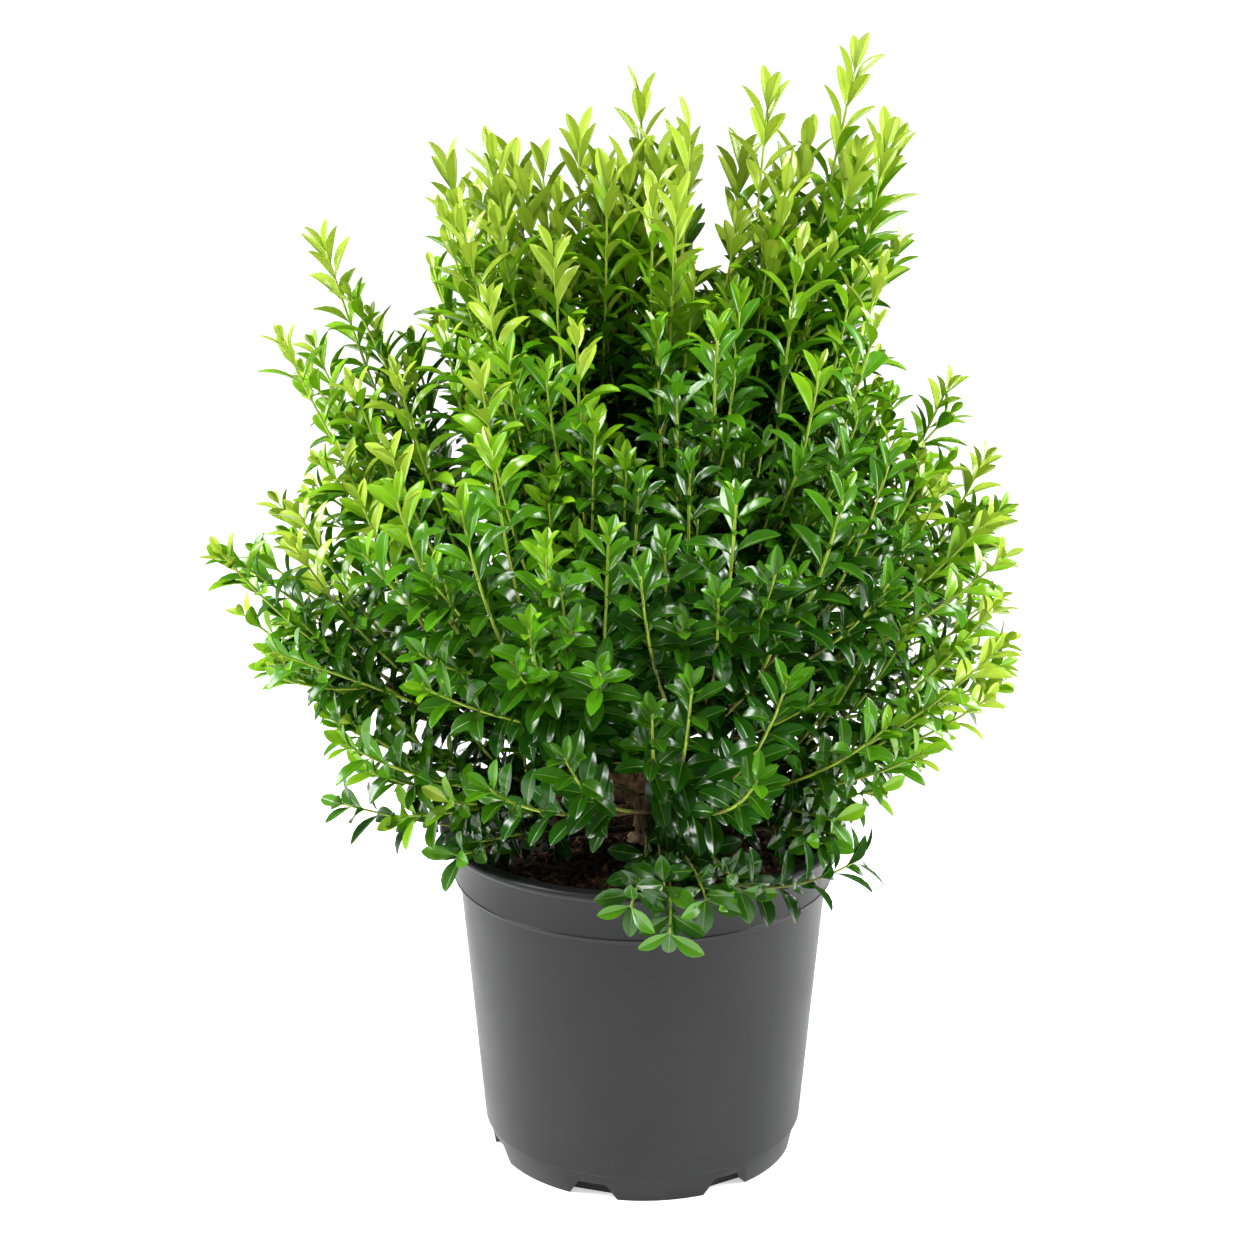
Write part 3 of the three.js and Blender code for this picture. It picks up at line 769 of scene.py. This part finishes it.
def leaf_faces():
    """Faces of one leaf, and which of them lie on its midrib."""
    faces, ribs = [], []
    middle = LEAF_COLUMNS // 2 - 1
    bands = len(LEAF_ROWS) - 1
    tip = bands * LEAF_COLUMNS
    for row in range(bands):
        low, high = row * LEAF_COLUMNS, (row + 1) * LEAF_COLUMNS
        for column in range(LEAF_COLUMNS - 1):
            if row == bands - 1:
                faces.append([low + column, low + column + 1, tip])
            else:
                faces.append([low + column, low + column + 1, high + column + 1, high + column])
            ribs.append(column == middle)
    return faces, ribs


def leaf_corners(leaves, rib_width):
    """Corners of many leaves: folded along the midrib, arched over their length, pointed at the tip."""
    def column(name):
        return np.array([getattr(leaf, name) for leaf in leaves])

    rows = LEAF_ROWS
    root, heading, upper = column("root"), column("heading"), column("upper")
    across = np.cross(upper, heading)
    length = column("length")[:, None]
    half_width = column("width")[:, None] / 2
    arch = column("arch")[:, None]
    fold = column("fold")[:, None, None]
    half = half_width * LEAF_OUTLINE
    flank = LEAF_FLANK * half
    rib = np.minimum(rib_width / 2 * (RIB_TAPER - rows), RIB_MOST * half)
    lateral = np.stack([-half, -flank, -rib, rib, flank, half], axis=2)
    lift = LEAF_CUP * half[:, :, None] * np.tan(fold)
    bend = arch * rows
    forward = length * np.sin(bend) / arch
    drop = length * (1 - np.cos(bend)) / arch
    normal = upper[:, None] * np.cos(bend)[:, :, None] + heading[:, None] * np.sin(bend)[:, :, None]
    spine = root[:, None] + heading[:, None] * forward[:, :, None] - upper[:, None] * drop[:, :, None]
    places = spine[:, :, None] + across[:, None, None] * lateral[..., None]
    places = places + normal[:, :, None] * lift[..., None]
    body = places[:, :-1].reshape(len(leaves), -1, 3)
    return np.concatenate([body, spine[:, -1:]], axis=1)


# Materials

# Where the two colours of a blend lie in the noise, and the noise's usual range
BLEND_STOPS = (0.35, 0.65)
NOISE_RANGE = (0.3, 0.7)
GRAIN_HEIGHT = 0.0008


def shader_of(material):
    return material.node_tree.nodes["Principled BSDF"]


def plain_material(name, colour, roughness, specular=0.5):
    material = bpy.data.materials.new(name)
    material.use_nodes = True
    inputs = shader_of(material).inputs
    inputs["Base Color"].default_value = (*colour, 1)
    inputs["Roughness"].default_value = roughness
    inputs["Specular IOR Level"].default_value = specular
    material.diffuse_color = (*colour, 1)
    return material


def add_node(material, kind, links=(), values=()):
    """A new node, from pairs of an input's name and what it is linked to or set to."""
    node = material.node_tree.nodes.new(kind)
    for socket, source in links:
        material.node_tree.links.new(source, node.inputs[socket])
    for socket, value in values:
        node.inputs[socket].default_value = value
    return node


def feed_shader(material, socket, source):
    material.node_tree.links.new(source, shader_of(material).inputs[socket])


def object_noise(material, scale, detail, stretch=(1, 1, 1)):
    """Noise on the piece's own coordinates."""
    place = add_node(material, "ShaderNodeTexCoord").outputs["Object"]
    mapping = add_node(material, "ShaderNodeMapping", [("Vector", place)], [("Scale", stretch)])
    links = [("Vector", mapping.outputs["Vector"])]
    noise = add_node(material, "ShaderNodeTexNoise", links, [("Scale", scale), ("Detail", detail)])
    return noise.outputs["Fac"]


def blend_colours(material, noise, dark, light):
    """The base colour runs between two colours with the noise."""
    ramp = add_node(material, "ShaderNodeValToRGB", [("Fac", noise)])
    for stop, place, colour in zip(ramp.color_ramp.elements, BLEND_STOPS, (dark, light)):
        stop.position = place
        stop.color = (*colour, 1)
    feed_shader(material, "Base Color", ramp.outputs["Color"])


def add_bump(material, noise, strength, distance):
    values = [("Strength", strength), ("Distance", distance)]
    bump = add_node(material, "ShaderNodeBump", [("Height", noise)], values)
    feed_shader(material, "Normal", bump.outputs["Normal"])


def vary_roughness(material, noise, roughnesses):
    sockets = ("From Min", "From Max", "To Min", "To Max")
    values = list(zip(sockets, (*NOISE_RANGE, *roughnesses)))
    spread = add_node(material, "ShaderNodeMapRange", [("Value", noise)], values)
    feed_shader(material, "Roughness", spread.outputs["Result"])


def pot_material(settings):
    material = plain_material("satin_plastic", settings.colour, settings.roughness, specular=0.2)
    grain = object_noise(material, scale=900, detail=2)
    clouds = object_noise(material, scale=14, detail=5)
    dark, light = ([share * value for value in settings.colour] for share in POT_CLOUDS)
    blend_colours(material, clouds, dark, light)
    vary_roughness(material, clouds, [settings.roughness + change for change in POT_SHEEN])
    add_bump(material, grain, strength=0.12, distance=0.0004)
    return material


class Grain(NamedTuple):
    """A natural surface: its sheen, the noise that colours it, and the strength of its relief."""

    roughness: float
    specular: float
    scale: float
    detail: float
    stretch: tuple
    strength: float


BARK = Grain(0.75, 0.3, 320, 6, (1, 1, 0.18), 0.6)
CRUMBS = Grain(0.9, 0.2, 260, 5, (1, 1, 1), 0.5)


def grained_material(name, dark, light, grain):
    material = plain_material(name, light, grain.roughness, grain.specular)
    noise = object_noise(material, grain.scale, grain.detail, grain.stretch)
    blend_colours(material, noise, dark, light)
    add_bump(material, noise, grain.strength, GRAIN_HEIGHT)
    return material


# Modelling by hand


def deselect():
    if bpy.context.object and bpy.context.object.mode != "OBJECT":
        bpy.ops.object.mode_set(mode="OBJECT")
    bpy.ops.object.select_all(action="DESELECT")


def pick(*pieces):
    """Selects only these pieces, with the first one active."""
    deselect()
    for piece in pieces:
        piece.select_set(True)
    bpy.context.view_layer.objects.active = pieces[0]


def raise_rings(name, rows, sides):
    """Extrudes a ring of corners through rows of (x, y, z, radius) in millimetres, and closes its ends."""
    deselect()
    x, y, z, radius = (value * MM for value in rows[0])
    bpy.ops.mesh.primitive_circle_add(vertices=sides, radius=radius, location=(0, 0, 0))
    piece = bpy.context.object
    piece.name = name
    bpy.ops.object.mode_set(mode="EDIT")
    bpy.ops.mesh.select_all(action="SELECT")
    bpy.ops.transform.translate(value=(x, y, z))
    for row in rows[1:]:
        next_x, next_y, next_z, next_radius = (value * MM for value in row)
        step = (next_x - x, next_y - y, next_z - z)
        bpy.ops.mesh.extrude_region_move(TRANSFORM_OT_translate={"value": step})
        size = next_radius / radius
        bpy.ops.transform.resize(value=(size, size, 1), center_override=(next_x, next_y, next_z))
        x, y, z, radius = next_x, next_y, next_z, next_radius
    bpy.ops.mesh.select_all(action="SELECT")
    bpy.ops.mesh.fill_holes(sides=0)
    bpy.ops.mesh.select_all(action="SELECT")
    bpy.ops.mesh.normals_make_consistent(inside=False)
    bpy.ops.object.mode_set(mode="OBJECT")
    return piece


def apply_modifier(piece, name, kind, **values):
    modifier = piece.modifiers.new(name, kind)
    for key, value in values.items():
        setattr(modifier, key, value)
    pick(piece)
    bpy.ops.object.modifier_apply(modifier=modifier.name)


def roughen(piece, name, noise_scale, **values):
    """Raises a piece's surface by clouds of noise."""
    clouds = bpy.data.textures.new(name, "CLOUDS")
    clouds.noise_scale = noise_scale
    clouds.noise_depth = 3
    apply_modifier(piece, name, "DISPLACE", texture=clouds, **values)


def join_pieces(pieces):
    pick(*pieces)
    bpy.ops.object.join()
    return pieces[0]


def shade_smooth(piece, degrees):
    pick(piece)
    bpy.ops.object.shade_smooth_by_angle(angle=math.radians(degrees))


def pot_rows():
    """The pot's section from the inside of its foot, up its outside, over the lip and down to its floor."""
    rows = [
        (FOOT_RADIUS - FOOT_WIDTH, FLOOR_UNDERSIDE),
        (FOOT_RADIUS - FOOT_WIDTH, 0),
        (FOOT_RADIUS, 0),
        (FOOT_TOP_RADIUS, FOOT_HEIGHT),
        (BODY_FOOT_RADIUS, FOOT_HEIGHT + SLOPE),
        (BODY_TOP_RADIUS, BAND_FOOT - SLOPE),
        (BAND_FOOT_RADIUS + BEAD, BAND_FOOT + SLOPE),
        (BAND_FOOT_RADIUS + BEAD, BAND_FOOT + SLOPE + BEAD),
        (BAND_FOOT_RADIUS, BAND_FOOT + SLOPE + BEAD_END),
        (BAND_TOP_RADIUS, LIP_FOOT - LIP_NECK),
        (LIP_RADIUS - LIP_UNDERCUT, LIP_FOOT),
    ]
    roll = LIP_DEPTH / 2
    for turn in LIP_TURNS:
        angle = math.radians(turn)
        rows.append((LIP_RADIUS - roll + roll * math.cos(angle), LIP_FOOT + roll + roll * math.sin(angle)))
    rows += [
        (BAND_TOP_RADIUS - WALL + INNER_EDGE, POT_HEIGHT),
        (BAND_TOP_RADIUS - WALL, POT_HEIGHT - INNER_EDGE),
        (BAND_FOOT_RADIUS - WALL, BAND_FOOT + SLOPE),
        (BODY_TOP_RADIUS - WALL, BAND_FOOT - SLOPE),
        (BODY_FOOT_RADIUS - WALL, FLOOR_TOP),
    ]
    return [(0, 0, height, radius) for radius, height in rows]


def notch_cutter(bearing):
    """A block that narrows upwards, across the foot's wall at a bearing, half of it below the ground."""
    deselect()
    depth = 2 * NOTCH_DEPTH * MM
    bpy.ops.mesh.primitive_cube_add(size=1)
    cutter = bpy.context.object
    bpy.ops.object.mode_set(mode="EDIT")
    bpy.ops.mesh.select_all(action="SELECT")
    widest = 2 * NOTCH_FOOT_WIDTH - NOTCH_TOP_WIDTH
    bpy.ops.transform.resize(value=(depth, widest * MM, NOTCH_HEIGHT * 2 * MM))
    bpy.ops.mesh.select_all(action="DESELECT")
    bpy.ops.object.mode_set(mode="OBJECT")
    for corner in cutter.data.vertices:
        corner.select = corner.co.z > 0
    bpy.ops.object.mode_set(mode="EDIT")
    bpy.ops.transform.resize(value=(1, NOTCH_TOP_WIDTH / widest, 1))
    bpy.ops.object.mode_set(mode="OBJECT")
    angle = math.radians(bearing)
    middle = FOOT_RADIUS * MM
    cutter.rotation_euler = (0, 0, angle)
    cutter.location = (middle * math.cos(angle), middle * math.sin(angle), 0)
    bpy.ops.object.transform_apply(location=True, rotation=True, scale=True)
    return cutter


# Settings that a user would change


def colour_setting(name, description, default):
    return FloatVectorProperty(name=name, description=description, subtype="COLOR", default=default)


def length_setting(name, description, default):
    return FloatProperty(name=name, description=description, unit="LENGTH", default=default)


def share_setting(name, description, default):
    return FloatProperty(name=name, description=description, subtype="FACTOR", default=default)


class PotSettings(PropertyGroup):
    """The pot's finish."""

    colour: colour_setting("Colour", "Charcoal plastic", (0.015, 0.015, 0.0155))
    roughness: share_setting("Roughness", "Satin sheen of the plastic", 0.37)
    sides: IntProperty(name="Sides", description="Facets round the pot", default=168, min=24)
    edge: length_setting("Edge", "Width of the rounded edges", 0.0007)


class SoilSettings(PropertyGroup):
    """The potting mix."""

    chips: IntProperty(name="Chips", description="Loose bits of bark on the surface", default=2600, min=0)
    relief: length_setting("Relief", "Height of the lumps", 0.005)
    dark: colour_setting("Dark", "Moist mix", (0.02, 0.012, 0.007))
    light: colour_setting("Light", "Dry bark chips", (0.2, 0.11, 0.06))


class BarkSettings(PropertyGroup):
    """Trunk, boughs and the woody ends of twigs."""

    voxel: length_setting("Voxel", "Fineness of the bark's mesh", 0.0011)
    relief: length_setting("Relief", "Height of the bark's ridges", 0.0012)
    # Both bark colours are paler than the bark's own: painted light, since the trunk stands in the crown's
    # shade.
    dark: colour_setting("Dark", "Furrows", (0.31, 0.2, 0.1))
    light: colour_setting("Light", "Ridges", (0.78, 0.55, 0.31))
    twig_dark: colour_setting("Twig dark", "Furrows of twigs", (0.06, 0.035, 0.018))
    twig_light: colour_setting("Twig light", "Ridges of twigs", (0.19, 0.12, 0.055))


class FoliageSettings(PropertyGroup):
    """Leaves and green stems."""

    rib_width: length_setting("Midrib", "Width of the midrib", 0.001)
    roughness: share_setting("Roughness", "Gloss of the leaves", 0.2)
    # Lime and young are the new growth's own colours, made brighter as painted light for light shining
    # through the thin leaves.
    lime: colour_setting("Lime", "Newest leaves", (0.335, 0.475, 0.036))
    young: colour_setting("Young", "Young leaves", (0.175, 0.375, 0.007))
    bright: colour_setting("Bright", "Bright leaves", (0.062, 0.215, 0.003))
    fresh: colour_setting("Fresh", "Leaves of this year", (0.025, 0.108, 0.002))
    green: colour_setting("Green", "Grown leaves", (0.012, 0.072, 0.002))
    deep: colour_setting("Deep", "Old leaves", (0.007, 0.046, 0.0015))
    olive_stem: colour_setting("Olive stem", "Stems below the pale leaves", (0.17, 0.19, 0.03))
    green_stem: colour_setting("Green stem", "Stems among the pale leaves", (0.33, 0.46, 0.04))


class StageSettings(PropertyGroup):
    """Camera, light and floor."""

    eye: FloatVectorProperty(
        name="Eye", description="Camera position", subtype="TRANSLATION", default=EYE * MM
    )
    pitch: FloatProperty(
        name="Pitch", description="Angle that the camera looks down by", subtype="ANGLE",
        default=math.radians(17.08)
    )
    lens: FloatProperty(name="Lens", description="Focal length in millimetres", default=83.0)
    sky: FloatProperty(name="Sky", description="Strength of the white surroundings", default=0.24)
    key: FloatProperty(name="Key", description="Strength of the soft sun", default=1.5)
    top: FloatProperty(name="Top", description="Strength of the lamp overhead", default=3)
    side: FloatProperty(name="Sides", description="Strength of the lamps at both sides", default=44)


# One operator for each piece or group of like pieces


class HOLLY_OT_stage(Operator):
    """Put up the white floor, the soft light and the camera"""

    bl_idname = "holly.stage"
    bl_label = "Stage"

    def execute(self, context):
        settings = context.scene.holly_stage
        deselect()
        bpy.ops.mesh.primitive_plane_add(size=STAGE_SIZE)
        floor = context.object
        floor.name = "floor"
        paper = plain_material("white_floor", STAGE_COLOUR, roughness=0.9, specular=0.1)
        glow = shader_of(paper).inputs
        glow["Emission Color"].default_value = WHITE
        glow["Emission Strength"].default_value = STAGE_GLOW
        floor.data.materials.append(paper)
        world = bpy.data.worlds.new("white_surroundings")
        context.scene.world = world
        world.use_nodes = True
        surroundings = world.node_tree.nodes["Background"].inputs
        surroundings["Color"].default_value = WHITE
        surroundings["Strength"].default_value = settings.sky
        bpy.ops.object.light_add(type="SUN", rotation=SUN_TURNS)
        sun = context.object
        sun.data.energy = settings.key
        sun.data.angle = SUN_BREADTH
        for name, place, size, strength in LAMPS:
            self.add_lamp(name, place, size, getattr(settings, strength))
        bpy.ops.object.camera_add(location=settings.eye, rotation=(math.pi / 2 - settings.pitch, 0, 0))
        camera = context.object
        camera.data.lens = settings.lens
        camera.data.sensor_width = SENSOR_WIDTH
        context.scene.camera = camera
        context.scene.view_settings.view_transform = "Standard"
        return {"FINISHED"}

    def add_lamp(self, name, place, size, energy):
        """A rectangular lamp that faces the middle of the crown."""
        facing = Vector(CROWN_MIDDLE) - Vector(place)
        bpy.ops.object.light_add(
            type="AREA", location=place, rotation=facing.to_track_quat("-Z", "Y").to_euler()
        )
        lamp = bpy.context.object
        lamp.name = name
        lamp.data.shape = "RECTANGLE"
        lamp.data.size, lamp.data.size_y = size
        lamp.data.energy = energy


class HOLLY_OT_pot(Operator):
    """Turn the pot from its section and cut the notches in its foot"""

    bl_idname = "holly.pot"
    bl_label = "Pot"

    def execute(self, context):
        settings = context.scene.holly_pot
        pot = raise_rings("nursery_pot", pot_rows(), settings.sides)
        bearings = [NOTCH_BEARING + i * 360 / NOTCH_COUNT for i in range(NOTCH_COUNT)]
        cutter = join_pieces([notch_cutter(bearing) for bearing in bearings])
        apply_modifier(pot, "notches", "BOOLEAN", object=cutter, operation="DIFFERENCE", solver="EXACT")
        bpy.data.objects.remove(cutter)
        apply_modifier(
            pot, "edges", "BEVEL", width=settings.edge, segments=2, limit_method="ANGLE",
            angle_limit=math.radians(25)
        )
        shade_smooth(pot, degrees=30)
        pot.data.materials.append(pot_material(settings))
        seat(pot, ["pot"])
        return {"FINISHED"}


class HOLLY_OT_soil(Operator):
    """Fill the pot with lumpy mix and strew bits of bark on it"""

    bl_idname = "holly.soil"
    bl_label = "Potting mix"

    def execute(self, context):
        settings = context.scene.holly_soil
        share = (SOIL_LEVEL - BAND_FOOT) / (POT_HEIGHT - BAND_FOOT)
        radius = lerp(BAND_FOOT_RADIUS, BAND_TOP_RADIUS, share) - WALL - SOIL_GAP
        bed_light = [BED_LIGHT * value for value in settings.dark]
        chip_dark = [CHIP_DARK * value for value in settings.dark]
        materials = [
            grained_material("moist_mix", settings.dark, bed_light, CRUMBS),
            grained_material("bark_bits", chip_dark, settings.light, CRUMBS),
        ]
        seat(self.make_bed(radius, settings, materials[0]), ["soil"])
        seat(self.strew_chips(radius, settings, materials), ["soil"])
        return {"FINISHED"}

    def make_bed(self, radius, settings, material):
        deselect()
        depth = (SOIL_LEVEL - BED_FOOT) * MM
        bpy.ops.mesh.primitive_cylinder_add(
            vertices=96, radius=radius * MM, depth=depth, end_fill_type="TRIFAN",
            location=(0, 0, SOIL_TOP - depth / 2)
        )
        bed = bpy.context.object
        bed.name = "potting_mix"
        bpy.ops.object.transform_apply(location=True)
        bpy.ops.object.mode_set(mode="EDIT")
        bpy.ops.mesh.select_all(action="SELECT")
        bpy.ops.mesh.subdivide(number_cuts=9)
        bpy.ops.object.mode_set(mode="OBJECT")
        top = bed.vertex_groups.new(name="surface")
        places = [corner.index for corner in bed.data.vertices if corner.co.z > SOIL_TOP - MM]
        top.add(places, 1, "REPLACE")
        roughen(
            bed, "lumps", noise_scale=0.012, texture_coords="LOCAL", direction="Z",
            strength=settings.relief, mid_level=0.6, vertex_group="surface"
        )
        shade_smooth(bed, degrees=60)
        bed.data.materials.append(material)
        return bed

    def strew_chips(self, radius, settings, materials):
        random = np.random.default_rng(SEED)
        count = settings.chips
        length = random.uniform(*CHIP_LENGTHS, count)
        breadth = length * random.uniform(*CHIP_BREADTHS, count)
        size = np.stack([length, breadth, random.uniform(*CHIP_HEIGHTS, count)], 1)
        away = (radius - CHIP_MARGIN) * np.sqrt(random.random(count))
        bearing = random.uniform(0, math.tau, count)
        height = SOIL_LEVEL + random.uniform(*CHIP_LEVELS, count)
        middle = np.stack([away * np.cos(bearing), away * np.sin(bearing), height], 1)
        narrowing = np.where(BLOCK[:, 2:] > 0, CHIP_TOP, 1)
        x, y, z = np.moveaxis(BLOCK * narrowing * size[:, None], 2, 0)
        turn, tilt = random.uniform(0, math.tau, count), random.normal(0, CHIP_TILT, count)
        x, z = turned(x, z, -tilt[:, None])
        x, y = turned(x, y, turn[:, None])
        corners = np.stack([x, y, z], axis=2) + middle[:, None]
        faces = [[len(BLOCK) * chip + i for i in side] for chip in range(count) for side in BLOCK_SIDES]
        slots = np.repeat(random.random(count) < PALE_CHIPS, len(BLOCK_SIDES)).astype(int)
        return mesh_piece("bark_chips", corners.reshape(-1, 3), faces, materials, slots, smooth=False)


class HOLLY_OT_limbs(Operator):
    """Model the trunk and the boughs as one limbed stem with bark on it"""

    bl_idname = "holly.limbs"
    bl_label = "Trunk and boughs"

    def execute(self, context):
        settings = context.scene.holly_bark
        rows = [(*point_on(TRUNK_AXIS, share), radius) for radius, share in TRUNK_ROWS]
        pieces = [raise_rings("limbs", rows, sides=32)]
        for bough in grow_boughs():
            pieces += self.add_bough(bough.axis)
        limbs = join_pieces(pieces)
        limbs.data.remesh_voxel_size = settings.voxel
        bpy.ops.object.voxel_remesh()
        self.add_bark(limbs, settings)
        shade_smooth(limbs, degrees=80)
        limbs.data.materials.append(grained_material("fine_bark", settings.dark, settings.light, BARK))
        seat(limbs, LIMB_NODES)
        return {"FINISHED"}

    def add_bough(self, axis):
        """A tapering limb, and the swelling at its fork."""
        start, pull, end = axis * MM
        deselect()
        bpy.ops.curve.primitive_bezier_curve_add()
        bough = bpy.context.object
        bough.data.bevel_depth = MM
        bough.data.bevel_resolution = 4
        bough.data.use_fill_caps = True
        first, last = bough.data.splines[0].bezier_points
        for point, place, radius in ((first, start, BOUGH_RADIUS), (last, end, BOUGH_TIP_RADIUS)):
            point.handle_left_type = point.handle_right_type = "FREE"
            point.co = place
            point.radius = radius
        first.handle_right = lerp(start, pull, HANDLE)
        first.handle_left = lerp(start, pull, OUTER_HANDLE)
        last.handle_left = lerp(end, pull, HANDLE)
        last.handle_right = lerp(end, pull, OUTER_HANDLE)
        bpy.ops.object.convert(target="MESH")
        bough = bpy.context.object
        bpy.ops.mesh.primitive_uv_sphere_add(segments=12, ring_count=8, radius=FORK_RADIUS * MM, location=end)
        return [bough, bpy.context.object]

    def add_bark(self, limbs, settings):
        deselect()
        bpy.ops.object.empty_add(scale=(1, 1, BARK_STRETCH))
        stretch = bpy.context.object
        roughen(
            limbs, "ridges", noise_scale=0.004, texture_coords="OBJECT", texture_coords_object=stretch,
            strength=settings.relief, mid_level=0.5
        )
        bpy.data.objects.remove(stretch)


class HOLLY_OT_twigs(Operator):
    """Grow the shoots' stems, from brown wood to yellow-green tips"""

    bl_idname = "holly.twigs"
    bl_label = "Twigs"

    def execute(self, context):
        bark, foliage = context.scene.holly_bark, context.scene.holly_foliage
        ages = {"woody": [], "olive": [], "green": []}
        for shoot in grow_shoots(grow_boughs()):
            if shoot.woody == WHOLLY_WOODY:
                continue
            length = length_of(shoot.curve)
            tender = max(shoot.woody + LEAST_OLIVE, 1 - GREEN_LENGTH * shoot.flush / length)
            ends = {"woody": (0, shoot.woody), "olive": (shoot.woody, tender), "green": (tender, 1)}
            for age, (begin, end) in ends.items():
                radii = [lerp(shoot.radius, shoot.tip_radius, share) for share in (begin, end)]
                ages[age].append(tube(shoot.curve, begin, end, *radii))
        looks = {
            "woody": grained_material("brown_twig", bark.twig_dark, bark.twig_light, BARK),
            "olive": plain_material("olive_stem", foliage.olive_stem, roughness=0.5),
            "green": plain_material("green_stem", foliage.green_stem, roughness=0.45),
        }
        for age, parts in ages.items():
            corners, faces = joined(parts)
            seat(mesh_piece(f"{age}_stems", corners, faces, [looks[age]]), FOLIAGE_NODES)
        return {"FINISHED"}


class HOLLY_OT_leaves(Operator):
    """Grow the leaves, and deal them out by tone"""

    bl_idname = "holly.leaves"
    bl_label = "Leaves"

    def execute(self, context):
        settings = context.scene.holly_foliage
        random = np.random.default_rng(SEED)
        leaves = [leaf for shoot in grow_shoots(grow_boughs()) for leaf in grow_leaves(shoot, random)]
        rib_width = settings.rib_width / MM
        corners = leaf_corners(leaves, rib_width)
        clear = (clear_of_pot(corners) & ~is_in_sky(corners) & ~hides_trunk(corners)).all(axis=1)
        kept = [leaf for leaf, is_clear in zip(leaves, clear) if is_clear]
        for tone, (name, _) in enumerate(TONES):
            colour = getattr(settings, name)
            rib_colour = [lerp(value, tint, RIB_BLEND) for value, tint in zip(colour, RIB_TINT)]
            materials = [
                plain_material(f"{name}_leaf", colour, settings.roughness, LEAF_SPECULAR),
                plain_material(f"{name}_midrib", rib_colour, settings.roughness + RIB_ROUGHER),
            ]
            own = [leaf for leaf in kept if leaf.tone == tone]
            for part, begin in enumerate(range(0, len(own), MOST_LEAVES), 1):
                batch = own[begin:begin + MOST_LEAVES]
                self.add_leaves(f"{name}_leaves_{part}", batch, rib_width, materials)
        return {"FINISHED"}

    def add_leaves(self, name, leaves, rib_width, materials):
        one_leaf, ribs = leaf_faces()
        corners = leaf_corners(leaves, rib_width)
        per_leaf = corners.shape[1]
        faces = [[i + n * per_leaf for i in face] for n in range(len(leaves)) for face in one_leaf]
        slots = np.tile(ribs, len(leaves)).astype(int)
        seat(mesh_piece(name, corners.reshape(-1, 3), faces, materials, slots), FOLIAGE_NODES)


class HOLLY_PT_panel(Panel):
    """Lists the steps in the order that they run in."""

    bl_idname = "HOLLY_PT_panel"
    bl_label = "Potted holly"
    bl_space_type = "VIEW_3D"
    bl_region_type = "UI"
    bl_category = "Holly"

    def draw(self, context):
        for step in STEPS:
            self.layout.operator(step.bl_idname)
        for name, kind in SETTINGS.items():
            for key in kind.__annotations__:
                self.layout.prop(getattr(context.scene, name), key)


SETTINGS = {
    "holly_pot": PotSettings,
    "holly_soil": SoilSettings,
    "holly_bark": BarkSettings,
    "holly_foliage": FoliageSettings,
    "holly_stage": StageSettings,
}
STEPS = (HOLLY_OT_stage, HOLLY_OT_pot, HOLLY_OT_soil, HOLLY_OT_limbs, HOLLY_OT_twigs, HOLLY_OT_leaves)


def register():
    for kind in (*SETTINGS.values(), *STEPS, HOLLY_PT_panel):
        bpy.utils.register_class(kind)
    for name, kind in SETTINGS.items():
        setattr(bpy.types.Scene, name, PointerProperty(type=kind))


def unregister():
    for name in SETTINGS:
        delattr(bpy.types.Scene, name)
    for kind in reversed((*SETTINGS.values(), *STEPS, HOLLY_PT_panel)):
        bpy.utils.unregister_class(kind)


def main():
    register()
    bpy.ops.holly.stage()
    bpy.ops.holly.pot()
    bpy.ops.holly.soil()
    bpy.ops.holly.limbs()
    bpy.ops.holly.twigs()
    bpy.ops.holly.leaves()


if __name__ == "__main__":
    main()
